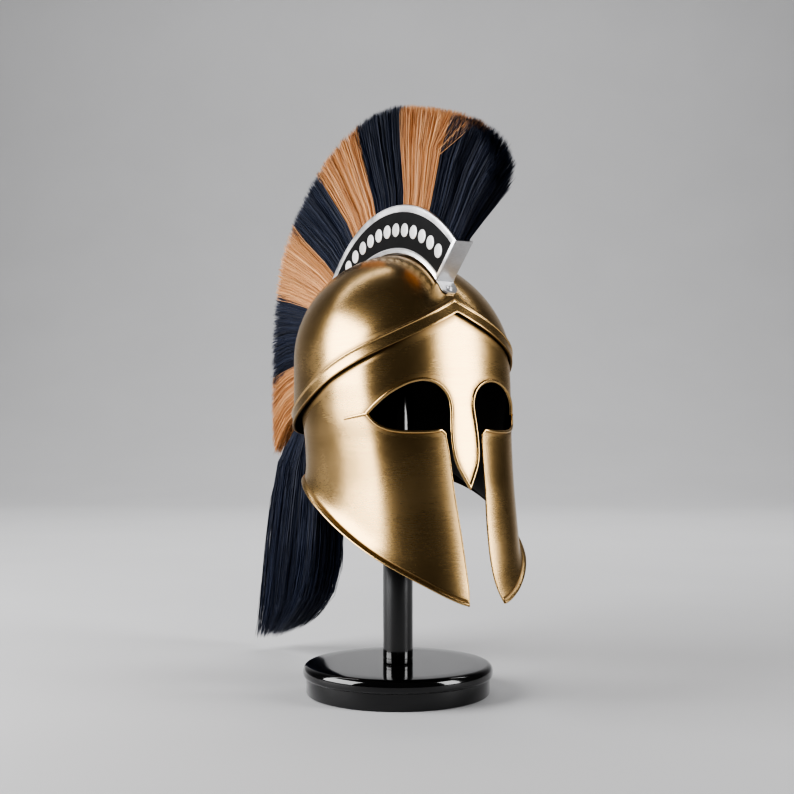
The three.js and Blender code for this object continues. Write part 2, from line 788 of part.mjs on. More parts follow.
addPiece('skull_dome', skullDome(), FINISHES.brass);
addPiece('face_mask', faceMask(), FINISHES.brass);
addPiece('leather_liner', leatherLiner(), FINISHES.leather);
addPiece('crest_frame', crestFrame(), FINISHES.silver);
addPiece('crest_inlay_left', crestInlay(), FINISHES.inlay);
addPiece('crest_inlay_right', mirrored(crestInlay()), FINISHES.inlay);
addPiece('crest_rivet_front', bracketRivet(CREST.frontAngle, true), FINISHES.silver);
addPiece('crest_rivet_rear', bracketRivet(CREST.rearAngle, false), FINISHES.silver);

PLUME_EDGES.slice(0, -1).forEach((front, i) => {
  const navy = i % 2 === 0;
  const name = `plume_${navy ? 'navy' : 'ginger'}_${Math.floor(i / 2) + 1}`;
  addPiece(name, fanBand(front, PLUME_EDGES[i + 1]), navy ? FINISHES.navyHair : FINISHES.gingerHair);
});
addPiece('plume_tail', tailBand(), FINISHES.navyHair);

addPiece('stand_base', turned(STAND.base, STAND.turns), FINISHES.blackGloss);
addPiece('stand_post', standPost(), FINISHES.blackGloss);
addPiece('stand_head', turned(STAND.head, STAND.turns)
  .translate([0, 0, STAND.postTop + JOINT_GAP]), FINISHES.blackGloss);

export default helmet;
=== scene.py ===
"""A crested Greek bronze helmet on its turned display stand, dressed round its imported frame."""

import logging
import math
from dataclasses import dataclass
from enum import Enum
from typing import Callable, Optional, Sequence

import bpy
import numpy as np
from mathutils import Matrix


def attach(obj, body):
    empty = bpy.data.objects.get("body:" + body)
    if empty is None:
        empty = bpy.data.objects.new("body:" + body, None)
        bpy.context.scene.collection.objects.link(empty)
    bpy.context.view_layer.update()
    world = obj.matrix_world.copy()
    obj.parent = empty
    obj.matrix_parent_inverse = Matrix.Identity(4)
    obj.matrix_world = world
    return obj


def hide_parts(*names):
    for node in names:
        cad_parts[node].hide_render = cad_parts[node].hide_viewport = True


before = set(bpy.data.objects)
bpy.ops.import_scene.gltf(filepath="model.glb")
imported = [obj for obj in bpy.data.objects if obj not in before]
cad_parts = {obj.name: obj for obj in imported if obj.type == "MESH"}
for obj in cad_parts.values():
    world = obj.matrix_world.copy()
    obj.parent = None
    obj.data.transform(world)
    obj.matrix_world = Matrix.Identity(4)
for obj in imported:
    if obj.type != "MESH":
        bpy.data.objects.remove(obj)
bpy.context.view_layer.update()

LOG = logging.getLogger("helmet")
MM = 0.001
BODY = "root"
CAMERA_TURN = 31.0            # degrees that the view is turned from the helmet's front
CAMERA_DISTANCE = 1.194
CAMERA_HEIGHT = 0.2463

Rows = np.ndarray
Stations = tuple[tuple[float, ...], ...]


# ---------------------------------------------------------------- smooth tables and paths

@dataclass(frozen=True)
class SmoothTable:
    """A smooth curve through a short table of stations."""

    stations: Stations

    def __call__(self, value: np.ndarray) -> np.ndarray:
        """Read the curve.

        Args:
            value: places along the table's first column.

        Returns:
            The second column there.
        """
        x, y = np.array(self.stations, float).T
        low = np.maximum(np.arange(len(x)) - 1, 0)
        high = np.minimum(np.arange(len(x)) + 1, len(x) - 1)
        slope = (y[high] - y[low]) / (x[high] - x[low])
        i = np.clip(np.searchsorted(x, value) - 1, 0, len(x) - 2)
        step = x[i + 1] - x[i]
        t = np.clip((value - x[i]) / step, 0, 1)
        s = 1 - t
        return (y[i] * (1 + 2 * t) * s * s + slope[i] * step * t * s * s
                + y[i + 1] * (3 - 2 * t) * t * t - slope[i + 1] * step * t * t * s)


def mix(a: np.ndarray, b: np.ndarray, share: np.ndarray) -> np.ndarray:
    """Return the value `share` of the way from `a` to `b`."""
    return a + (b - a) * share


def ramp(low: float, high: float, value: np.ndarray) -> np.ndarray:
    """Return a smooth rise from 0 at `low` to 1 at `high`."""
    t = np.clip((value - low) / (high - low), 0, 1)
    return t * t * (3 - 2 * t)


def smooth_path(points: np.ndarray, spacing: float) -> np.ndarray:
    """Run a smooth curve through points.

    Args:
        points: the points, one in each row.
        spacing: the rough distance between the curve's own points.

    Returns:
        The curve's points, both ends included.
    """
    points = np.asarray(points, float)
    run = np.concatenate([[0], np.cumsum(np.linalg.norm(np.diff(points, axis=0), axis=1))])
    at = np.linspace(0, run[-1], max(2, int(run[-1] / spacing) + 1))
    columns = [SmoothTable(tuple(zip(run, column)))(at) for column in points.T]
    return np.stack(columns, axis=1)


# ---------------------------------------------------------------- modelling tools

def deselect() -> None:
    """Leave edit mode and deselect everything."""
    if bpy.context.mode != "OBJECT":
        bpy.ops.object.mode_set(mode="OBJECT")
    bpy.ops.object.select_all(action="DESELECT")


def use(piece: bpy.types.Object) -> None:
    """Make one piece the only selected and active one."""
    deselect()
    piece.select_set(True)
    bpy.context.view_layer.objects.active = piece


def read_points(piece: bpy.types.Object) -> np.ndarray:
    """Return the piece's vertices in metres, one in each row."""
    flat = np.empty(3 * len(piece.data.vertices))
    piece.data.vertices.foreach_get("co", flat)
    return flat.reshape(-1, 3)


def write_points(piece: bpy.types.Object, points: np.ndarray) -> None:
    """Move the piece's vertices to `points`, in metres."""
    piece.data.vertices.foreach_set("co", np.ascontiguousarray(points, float).ravel())
    piece.data.update()


def close_up(piece: bpy.types.Object) -> None:
    """Merge seams and poles, fill open ends and turn the faces outwards."""
    use(piece)
    bpy.ops.object.mode_set(mode="EDIT")
    bpy.ops.mesh.select_all(action="SELECT")
    bpy.ops.mesh.remove_doubles(threshold=2e-6)
    bpy.ops.mesh.dissolve_degenerate(threshold=1e-7)
    bpy.ops.mesh.select_all(action="SELECT")
    bpy.ops.mesh.fill_holes(sides=0)
    bpy.ops.mesh.select_all(action="SELECT")
    bpy.ops.mesh.normals_make_consistent(inside=False)
    bpy.ops.object.mode_set(mode="OBJECT")


def shade(piece: bpy.types.Object, angle: float) -> None:
    """Shade a piece smooth, with edges kept sharp above `angle` degrees."""
    use(piece)
    bpy.ops.object.shade_smooth_by_angle(angle=math.radians(angle))


def sheet(name: str, rows: Rows) -> bpy.types.Object:
    """Bend a grid through rows of points.

    Args:
        name: the new piece's name.
        rows: the points in millimetres, as (rows, points in a row, 3).

    Returns:
        The open sheet.
    """
    count, across = rows.shape[:2]
    deselect()
    bpy.ops.mesh.primitive_grid_add(x_subdivisions=across - 1, y_subdivisions=count - 1, size=1)
    piece = bpy.context.object
    piece.name = piece.data.name = name
    flat = read_points(piece)
    column = np.rint((flat[:, 0] + 0.5) * (across - 1)).astype(int)
    row = np.rint((flat[:, 1] + 0.5) * (count - 1)).astype(int)
    write_points(piece, rows[row, column] * MM)
    return piece


def loft(name: str, rows: Rows, sharp: float = 40) -> bpy.types.Object:
    """Run a closed skin through rows of points.

    Args:
        name: the new piece's name.
        rows: the points in millimetres, as (rows, points in a row, 3).
        sharp: the angle above which an edge stays sharp.

    Returns:
        The closed piece.
    """
    piece = sheet(name, rows)
    close_up(piece)
    shade(piece, sharp)
    return piece


def join(name: str, pieces: Sequence[bpy.types.Object]) -> bpy.types.Object:
    """Join pieces into one, with the given name."""
    use(pieces[0])
    for piece in pieces[1:]:
        piece.select_set(True)
    bpy.ops.object.join()
    joined = bpy.context.object
    joined.name = joined.data.name = name
    return joined


def apply_modifier(piece: bpy.types.Object, kind: str, **settings: object) -> None:
    """Add a modifier with the given settings and apply it at once."""
    use(piece)
    modifier = piece.modifiers.new(kind.title(), kind)
    for key, value in settings.items():
        setattr(modifier, key, value)
    bpy.ops.object.modifier_apply(modifier=modifier.name)


def paint(piece: bpy.types.Object, name: str, values: np.ndarray) -> None:
    """Give each vertex of a piece a number that its material reads."""
    layer = piece.data.attributes.new(name, "FLOAT", "POINT")
    layer.data.foreach_set("value", np.ascontiguousarray(values, np.float32))


def closed_rows(rows: Rows) -> Rows:
    """Repeat each row's first point at its end, so that the skin closes round."""
    return np.concatenate([rows, rows[:, :1]], axis=1)


def finish_piece(piece: bpy.types.Object, material: bpy.types.Material,
                 nodes: Sequence[str]) -> None:
    """Dress a piece and tie it to the frame.

    Args:
        piece: the finished mesh.
        material: its material.
        nodes: the CAD nodes that it stands for.
    """
    piece.data.materials.clear()
    piece.data.materials.append(material)
    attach(piece, BODY)
    if nodes:
        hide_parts(*nodes)
    LOG.info("%s: %d faces", piece.name, len(piece.data.polygons))


# ---------------------------------------------------------------- finishes

class Slot(Enum):
    """The record's material slots."""

    BRASS = "brass_sheet"
    SILVER = "crest_silver"
    INLAY = "crest_inlay"
    NAVY = "navy_hair"
    GINGER = "ginger_hair"
    LEATHER = "liner_leather"
    BLACK = "stand_black"


@dataclass
class Nodes:
    """A small builder for one material's node tree."""

    material: bpy.types.Material

    @classmethod
    def start(cls, name: str) -> "Nodes":
        """Return a builder on a new material that has one Principled shader."""
        material = bpy.data.materials.new(name)
        material.use_nodes = True
        return cls(material)

    @property
    def shader(self) -> bpy.types.Node:
        """The material's Principled shader."""
        return self.material.node_tree.nodes["Principled BSDF"]

    def add(self, kind: str, **settings: object) -> bpy.types.Node:
        """Add a node and set its properties and unlinked sockets.

        Args:
            kind: the node's type, without its ShaderNode prefix.
            settings: property names, or socket names with spaces as underscores.

        Returns:
            The new node.
        """
        node = self.material.node_tree.nodes.new("ShaderNode" + kind)
        for key, value in settings.items():
            if hasattr(node, key):
                setattr(node, key, value)
            else:
                node.inputs[key.replace("_", " ")].default_value = value
        return node

    def link(self, source: bpy.types.NodeSocket, target: bpy.types.NodeSocket) -> None:
        """Join one node's output to another's input."""
        self.material.node_tree.links.new(source, target)

    def place(self, scale: tuple[float, float, float]) -> bpy.types.NodeSocket:
        """Return object coordinates, stretched by `scale`."""
        coordinates = self.add("TexCoord")
        mapping = self.add("Mapping", Scale=scale)
        self.link(coordinates.outputs["Object"], mapping.inputs["Vector"])
        return mapping.outputs["Vector"]

    def noise(self, scale: tuple[float, float, float], size: float, detail: float = 4,
              distortion: float = 0) -> bpy.types.NodeSocket:
        """Return a noise pattern on stretched object coordinates.

        Args:
            scale: how the coordinates are stretched.
            size: the noise's scale.
            detail: its number of octaves.
            distortion: how far it is warped.

        Returns:
            The pattern's socket, from 0 to 1.
        """
        node = self.add("TexNoise", Scale=size, Detail=detail, Distortion=distortion)
        self.link(self.place(scale), node.inputs["Vector"])
        return node.outputs["Fac"]

    def attribute(self, name: str) -> bpy.types.NodeSocket:
        """Return a painted number of the piece."""
        return self.add("Attribute", attribute_name=name).outputs["Fac"]

    def colours(self, fac: bpy.types.NodeSocket,
                stops: Sequence[tuple[float, tuple]]) -> bpy.types.NodeSocket:
        """Turn a number into a colour.

        Args:
            fac: the number.
            stops: places from 0 to 1 with their colours.

        Returns:
            The colour's socket.
        """
        node = self.add("ValToRGB")
        elements = node.color_ramp.elements
        while len(elements) < len(stops):
            elements.new(0.5)
        for element, (place, colour) in zip(elements, stops):
            element.position = place
            element.color = (*colour, 1)
        self.link(fac, node.inputs["Fac"])
        return node.outputs["Color"]

    def blend(self, fac: bpy.types.NodeSocket, first: object, second: object,
              kind: str = "MIX") -> bpy.types.NodeSocket:
        """Blend two colours.

        Args:
            fac: how much of the second shows.
            first: a socket or a colour.
            second: a socket or a colour.
            kind: the blend type.

        Returns:
            The blended colour's socket.
        """
        node = self.add("MixRGB", blend_type=kind)
        self.link(fac, node.inputs["Fac"])
        for key, value in (("Color1", first), ("Color2", second)):
            if isinstance(value, bpy.types.NodeSocket):
                self.link(value, node.inputs[key])
            else:
                node.inputs[key].default_value = (*value, 1)
        return node.outputs["Color"]

    def range(self, fac: bpy.types.NodeSocket, low: float, high: float,
              start: float = 0, end: float = 1) -> bpy.types.NodeSocket:
        """Return `fac` moved from start..end to low..high."""
        node = self.add("MapRange", From_Min=start, From_Max=end, To_Min=low, To_Max=high)
        self.link(fac, node.inputs["Value"])
        return node.outputs["Result"]

    def sum(self, first: bpy.types.NodeSocket, second: bpy.types.NodeSocket,
            operation: str = "ADD") -> bpy.types.NodeSocket:
        """Return two numbers put together by a maths operation."""
        node = self.add("Math", operation=operation)
        self.link(first, node.inputs[0])
        self.link(second, node.inputs[1])
        return node.outputs["Value"]

    def bump(self, height: bpy.types.NodeSocket, strength: float, distance: float,
             under: Optional[bpy.types.NodeSocket] = None) -> bpy.types.NodeSocket:
        """Return a normal raised by a pattern, on top of another normal if one is given."""
        node = self.add("Bump", Strength=strength, Distance=distance)
        self.link(height, node.inputs["Height"])
        if under is not None:
            self.link(under, node.inputs["Normal"])
        return node.outputs["Normal"]

    def feed(self, **sockets: object) -> None:
        """Set or link the shader's inputs, named with underscores for spaces."""
        for key, value in sockets.items():
            socket = self.shader.inputs[key.replace("_", " ")]
            if isinstance(value, bpy.types.NodeSocket):
                self.link(value, socket)
            else:
                socket.default_value = value


@dataclass(frozen=True)
class AntiqueBrass:
    """Brushed brass sheet with a thin brown patina that deepens beside raised work, darkened there partly by patina and
    partly by painted shade; its inner faces are painted near black as a painted shade.
    """

    name: str = "antique_brass"
    light: tuple[float, float, float] = (0.62, 0.43, 0.215)
    tone: tuple[float, float, float] = (0.50, 0.335, 0.155)
    # dark brass for the patina, the wear flecks and the painted shade in creases and under the band
    patina_wear_and_shade: tuple[float, float, float] = (0.10, 0.058, 0.024)
    # near black for the helmet's inner faces: a painted shade
    inside_painted_shade: tuple[float, float, float] = (0.012, 0.009, 0.006)
    roughness: tuple[float, float] = (0.20, 0.30)
    brush: tuple[float, float, float] = (1.0, 1.0, 16.0)

    def build(self) -> bpy.types.Material:
        """Return the material."""
        nodes = Nodes.start(self.name)
        cloud = nodes.noise((1, 1, 1), 11, 5, 0.6)
        grain = nodes.noise(self.brush, 150, 3)
        sheen = nodes.noise(self.brush, 26, 4)
        metal = nodes.colours(nodes.sum(nodes.range(cloud, 0, 0.7), nodes.range(sheen, 0, 0.35)),
                              ((0.3, self.tone), (0.75, self.light)))
        # darken by the painted attribute: partly patina, partly painted shade in creases and under the band
        aged = nodes.blend(nodes.range(nodes.attribute("patina_and_shade"), 0, 0.92), metal, self.patina_wear_and_shade)
        spots = nodes.noise((1, 1, 1), 160, 6)
        flecks = nodes.range(spots, 0, 0.1, 0.72, 0.84)
        worn = nodes.blend(flecks, aged, self.patina_wear_and_shade)
        # mix the inner faces to near black, a painted shade for the dark inside of the helmet
        colour = nodes.blend(nodes.attribute("inside"), worn, self.inside_painted_shade)
        rough = nodes.sum(nodes.range(cloud, *self.roughness, 0.3, 0.7),
                          nodes.range(nodes.attribute("patina_and_shade"), 0, 0.25))
        rough = nodes.sum(rough, nodes.range(grain, -0.05, 0.05))
        rough = nodes.sum(rough, nodes.range(nodes.attribute("inside"), 0, 0.4))
        hammer = nodes.bump(nodes.noise((1, 1, 1), 22, 2), 0.05, 0.002)
        normal = nodes.bump(grain, 0.05, 0.0004, hammer)
        nodes.feed(Base_Color=colour, Metallic=1.0, Roughness=rough, Normal=normal)
        return nodes.material


@dataclass(frozen=True)
class SatinSilver:
    """Plated white metal with a soft brushed face and darker handling marks."""

    name: str = "satin_silver"
    light: tuple[float, float, float] = (0.84, 0.84, 0.85)
    dull: tuple[float, float, float] = (0.66, 0.66, 0.68)
    roughness: tuple[float, float] = (0.32, 0.46)
    metallic: float = 1.0

    def build(self) -> bpy.types.Material:
        """Return the material."""
        nodes = Nodes.start(self.name)
        cloud = nodes.noise((1, 1, 1), 30, 5, 0.4)
        grain = nodes.noise((14, 1, 1), 160, 3)
        scratches = nodes.noise((1, 9, 3), 240, 4, 0.3)
        colour = nodes.colours(nodes.sum(nodes.range(cloud, 0, 0.6), nodes.range(scratches, 0, 0.4)),
                               ((0.3, self.dull), (0.62, self.light)))
        rough = nodes.sum(nodes.range(cloud, *self.roughness, 0.3, 0.7),
                          nodes.range(grain, -0.05, 0.05))
        nodes.feed(Base_Color=colour, Metallic=self.metallic, Roughness=rough,
                   Normal=nodes.bump(grain, 0.08, 0.0004))
        return nodes.material


@dataclass(frozen=True)
class MattBlack:
    """The crest's black ground: a matt lacquer with a fine tooth."""

    name: str = "matt_black_ground"
    colour: tuple[float, float, float] = (0.004, 0.004, 0.005)
    worn: tuple[float, float, float] = (0.010, 0.010, 0.011)

    def build(self) -> bpy.types.Material:
        """Return the material."""
        nodes = Nodes.start(self.name)
        tooth = nodes.noise((1, 1, 1), 900, 3)
        cloud = nodes.noise((1, 1, 1), 60, 4)
        nodes.feed(Base_Color=nodes.colours(cloud, ((0.35, self.colour), (0.75, self.worn))),
                   Roughness=nodes.range(cloud, 0.5, 0.66), Specular_IOR_Level=0.18,
                   Normal=nodes.bump(tooth, 0.25, 0.0003))
        return nodes.material


@dataclass(frozen=True)
class BrushHair:
    """Dyed brush hair: each hair has its own tone, and a painted shade darkens it towards its root, so that it is paler
    at its tip.
    """

    name: str
    # the painted shade at a hair's root, where it sits deep in the crest
    root: tuple[float, float, float]
    deep: tuple[float, float, float]
    middle: tuple[float, float, float]
    pale: tuple[float, float, float]
    gloss: float = 0.42
    sheen: float = 0.15

    def build(self) -> bpy.types.Material:
        """Return the material."""
        nodes = Nodes.start(self.name)
        hair = nodes.colours(nodes.attribute("shade"),
                             ((0.0, self.deep), (0.5, self.middle), (1.0, self.pale)))
        # darken the first 30 % of each hair towards the root colour: a painted shade
        colour = nodes.blend(nodes.range(nodes.attribute("along"), 0.75, 0, 0.0, 0.3), hair, self.root)
        cloud = nodes.noise((1, 1, 1), 35, 3)
        nodes.feed(Base_Color=colour, Roughness=nodes.range(cloud, self.gloss, self.gloss + 0.15),
                   Sheen_Weight=self.sheen, Sheen_Roughness=0.4, Specular_IOR_Level=0.4)
        return nodes.material


@dataclass(frozen=True)
class DarkLeather:
    """The liner's dark grained leather."""

    name: str = "dark_liner_leather"
    colour: tuple[float, float, float] = (0.014, 0.013, 0.013)
    worn: tuple[float, float, float] = (0.04, 0.037, 0.034)

    def build(self) -> bpy.types.Material:
        """Return the material."""
        nodes = Nodes.start(self.name)
        grain = nodes.add("TexVoronoi", Scale=520.0, feature="DISTANCE_TO_EDGE")
        nodes.link(nodes.place((1, 1, 1)), grain.inputs["Vector"])
        pores = nodes.range(grain.outputs["Distance"], 0, 1, 0, 0.25)
        cloud = nodes.noise((1, 1, 1), 24, 5)
        nodes.feed(Base_Color=nodes.colours(cloud, ((0.35, self.colour), (0.72, self.worn))),
                   Roughness=nodes.range(cloud, 0.5, 0.7), Normal=nodes.bump(pores, 0.4, 0.0005))
        return nodes.material


@dataclass(frozen=True)
class BlackLacquer:
    """Gloss black lacquer on turned wood, with faint swirl marks and dust."""

    name: str = "gloss_black_lacquer"
    colour: tuple[float, float, float] = (0.0035, 0.0035, 0.004)
    dust: tuple[float, float, float] = (0.012, 0.012, 0.013)

    def build(self) -> bpy.types.Material:
        """Return the material."""
        nodes = Nodes.start(self.name)
        cloud = nodes.noise((1, 1, 1), 14, 6, 0.5)
        specks = nodes.range(nodes.noise((1, 1, 1), 420, 2), 0, 1, 0.7, 0.8)
        colour = nodes.blend(nodes.range(specks, 0, 0.6), self.colour, self.dust)
        peel = nodes.noise((1, 1, 1), 130, 2)
        nodes.feed(Base_Color=colour, Roughness=nodes.range(cloud, 0.07, 0.17, 0.3, 0.7),
                   Coat_Weight=0.6, Coat_Roughness=0.05, Normal=nodes.bump(peel, 0.03, 0.0003))
        return nodes.material


@dataclass(frozen=True)
class PalePlaster:
    """The studio's plain pale floor and wall."""

    name: str = "pale_studio_floor"
    colour: tuple[float, float, float] = (0.62, 0.62, 0.63)

    def build(self) -> bpy.types.Material:
        """Return the material."""
        nodes = Nodes.start(self.name)
        cloud = nodes.noise((1, 1, 1), 3, 3)
        dark = tuple(0.97 * c for c in self.colour)
        nodes.feed(Base_Color=nodes.colours(cloud, ((0.3, dark), (0.7, self.colour))), Roughness=0.6)
        return nodes.material


# ---------------------------------------------------------------- the helmet's surfaces

@dataclass(frozen=True)
class ShellForm:
    """The surfaces that the helmet's two sheets follow, in millimetres and degrees.

    Angles are measured round the shell from the front.
    """

    centre: float = 10
    sheet: float = 1.4
    dome_level: float = 312
    dome_rise: float = 98
    dome_half: float = 95
    dome_front: float = 97
    dome_rear: float = 126.5
    crown_set_back: float = 12
    lap_gap: float = 1.05
    flare_fade: float = 6
    band_edge: SmoothTable = SmoothTable((
        (0, 349), (30, 325), (60, 301), (90, 277), (110, 262.5), (135, 248), (160, 241), (180, 239)))
    mask_front: SmoothTable = SmoothTable((
        (92, 150), (98, 147), (125, 136), (160, 127.5), (200, 120), (235, 113.6), (254, 110.6),
        (272, 107.8), (290, 105), (360, 96)))
    mask_half: SmoothTable = SmoothTable((
        (92, 85), (98, 85), (125, 86.2), (160, 87.3), (200, 87), (235, 88.5), (254, 90), (272, 91),
        (290, 92), (360, 92)))
    mask_rear: SmoothTable = SmoothTable((
        (92, 88), (98, 88), (125, 89), (160, 90.5), (200, 92), (235, 93), (254, 99), (272, 109),
        (290, 113), (360, 113)))
    rim: SmoothTable = SmoothTable((
        (0, 98), (8, 99), (15, 105.5), (23, 115), (32, 125), (40, 133.2), (60, 153.3), (75, 166.5),
        (91, 179), (105, 188.5), (120, 196), (150, 204), (180, 206)))
    flare: SmoothTable = SmoothTable((
        (0, 0.5), (8, 0.8), (15, 1.5), (23, 2.5), (32, 3.8), (40, 5), (60, 6.5), (75, 6.5), (91, 6),
        (105, 5), (120, 4), (150, 4.5), (180, 5)))

    @staticmethod
    def from_front(angle: np.ndarray) -> np.ndarray:
        """Return the angle from the front, 0 to 180 on either side."""
        turn = np.mod(angle, 360)
        return np.minimum(turn, 360 - turn)

    @staticmethod
    def section(turn: np.ndarray, half: np.ndarray, front: np.ndarray, rear: np.ndarray,
                corner: np.ndarray) -> np.ndarray:
        """Return the reach of a rounded level section.

        Args:
            turn: angle from the front.
            half: the section's half width.
            front: its reach forwards.
            rear: its reach to the rear.
            corner: how square its front half is.

        Returns:
            The distance from the section's centre.
        """
        across = np.abs(np.sin(np.radians(turn)))
        ahead = np.cos(np.radians(turn))
        power = np.where(ahead > 0, corner, 2.0)
        reach = np.maximum(np.where(ahead > 0, front, rear), 1e-6)
        total = (across / np.maximum(half, 1e-6)) ** power + (np.abs(ahead) / reach) ** power
        return total ** (-1 / power)

    @staticmethod
    def point(angle: np.ndarray, radius: np.ndarray, z: np.ndarray, centre: np.ndarray) -> np.ndarray:
        """Return points at an angle and radius round the shell's axis."""
        a = np.radians(angle)
        parts = np.broadcast_arrays(-radius * np.sin(a), -(centre + radius * np.cos(a)), z)
        return np.stack(parts, axis=-1)

    def dome_section(self, angle: np.ndarray, z: np.ndarray,
                     proud: np.ndarray) -> tuple[np.ndarray, np.ndarray]:
        """Return the dome's radius and centre at a height, `proud` mm outside its face."""
        lift = np.clip((z - self.dome_level) / (self.dome_rise + proud), 0, 1)

        def shrink(power: float) -> np.ndarray:
            """Return how much the section has closed in at this height."""
            return np.maximum(0, 1 - lift ** power) ** (1 / power)

        radius = self.section(
            self.from_front(angle), (self.dome_half + proud) * shrink(1.95),
            (self.dome_front + proud) * shrink(2.15), (self.dome_rear + proud) * shrink(2.0),
            mix(2.3, 1.7, lift))
        return np.where(lift >= 1, 0, radius), self.centre - self.crown_set_back * lift ** 2

    def dome(self, angle: np.ndarray, z: np.ndarray, proud: np.ndarray) -> np.ndarray:
        """Return points of the dome, `proud` mm outside its face."""
        radius, centre = self.dome_section(angle, z, proud)
        return self.point(angle, radius, z, centre)

    def mask_radius(self, angle: np.ndarray, z: np.ndarray) -> np.ndarray:
        """Return the mask's radius, which tucks inside the dome under the band."""
        turn = self.from_front(angle)
        wall = self.section(turn, self.mask_half(z), self.mask_front(z) - self.centre,
                            self.mask_rear(z) + self.centre, np.full_like(z, 2.5))
        flared = wall + self.flare(turn) * np.exp(-np.maximum(0, z - self.rim(turn)) / self.flare_fade)
        inside, centre = self.dome_section(turn, z, -self.sheet - self.lap_gap)
        limit = inside - (self.centre - centre) * np.cos(np.radians(turn))
        tucked = ramp(-4.5, -0.8, z - self.band_edge(turn))
        return mix(flared, np.minimum(flared, limit), tucked)

    def mask(self, angle: np.ndarray, z: np.ndarray, out: np.ndarray) -> np.ndarray:
        """Return points of the mask, `out` mm outside its face."""
        return self.point(angle, self.mask_radius(angle, z) + out, z, self.centre)

    def outward(self, angle: np.ndarray, z: np.ndarray) -> np.ndarray:
        """Return the mask's outward direction at places on it."""
        step = 0.4
        zero = np.zeros_like(z)
        round_it = self.mask(angle + step, z, zero) - self.mask(angle - step, z, zero)
        up = self.mask(angle, z + step, zero) - self.mask(angle, z - step, zero)
        normal = np.cross(up, round_it)
        normal /= np.linalg.norm(normal, axis=-1, keepdims=True)
        away = self.mask(angle, z, zero) - np.array([0, -self.centre, 0])
        return normal * np.sign(np.sum(normal[..., :2] * away[..., :2], axis=-1))[..., None]

    def inside_dome(self, points: np.ndarray) -> np.ndarray:
        """Return which points lie well inside the dome's face."""
        x, y, z = points.T
        _, centre = self.dome_section(np.zeros_like(z), z, 0.0)
        angle = np.degrees(np.arctan2(-x, -(y + centre)))
        radius, _ = self.dome_section(angle, z, 0.0)
        crown = self.dome_level + self.dome_rise
        return (np.hypot(x, y + centre) < radius - 0.7) & (z < crown - 0.7)

    def place_on(self, points: np.ndarray) -> tuple[np.ndarray, np.ndarray]:
        """Return the angle from the front and the height of points in metres."""
        x, y, z = points.T / MM
        return np.abs(np.degrees(np.arctan2(-x, -(y + self.centre)))), z


@dataclass(frozen=True)
class FaceOpening:
    """Half of the face opening: up the cheek, round the eye and down the nasal."""

    cheek: Stations = ((7.8, 99), (6.5, 113), (6.3, 133), (6.9, 159), (8.6, 196), (9.6, 225),
                       (10.8, 243))
    eye_lower: Stations = ((12.8, 246.2), (18, 245), (25, 244.6), (32, 245), (38, 246.6), (43.2, 250),
                           (47, 255), (50, 260.3))
    eye_upper: Stations = ((50, 260.3), (45.2, 268.5), (38.7, 278), (33, 284), (27.2, 288.3), (20.8, 290),
                           (14.8, 287.6), (9.9, 281.5), (7.2, 273), (6.6, 264), (7, 252), (7.2, 240),
                           (6.8, 228), (5.4, 217), (2.9, 207), (0, 197))
    degree: float = 1.85      # millimetres round the shell in one degree

    def half(self, spacing: float) -> tuple[np.ndarray, np.ndarray]:
        """Return the half outline as (angle, height), and which of its points belong to the eye."""
        parts = []
        scale = np.array([self.degree, 1.0])
        for stations in (self.cheek, self.eye_lower, self.eye_upper):
            parts.append(smooth_path(np.array(stations) * scale, spacing) / scale)
        eye = np.concatenate([np.zeros(len(parts[0])), np.ones(len(parts[1]) + len(parts[2]) - 1)])
        return np.concatenate([parts[0], parts[1], parts[2][1:]]), eye

    def outline(self, spacing: float) -> tuple[np.ndarray, np.ndarray]:
        """Return the whole outline from one cheek's tip to the other's, with the eye marks."""
        near, eye = self.half(spacing)
        far = near[::-1][1:] * np.array([-1, 1])
        return np.concatenate([near, far]), np.concatenate([eye, eye[::-1][1:]])

    def distance(self, angle: np.ndarray, z: np.ndarray) -> tuple[np.ndarray, np.ndarray]:
        """Return how far places lie from the half outline, and whether the eye is nearest."""
        path, eye = self.half(2.0)
        best = np.full(len(z), 1e9)
        nearest = np.zeros(len(z))
        for (a, height), mark in zip(path, eye):
            gap = np.hypot((angle - a) * self.degree, z - height)
            closer = gap < best
            best[closer] = gap[closer]
            nearest[closer] = mark
        return best, nearest


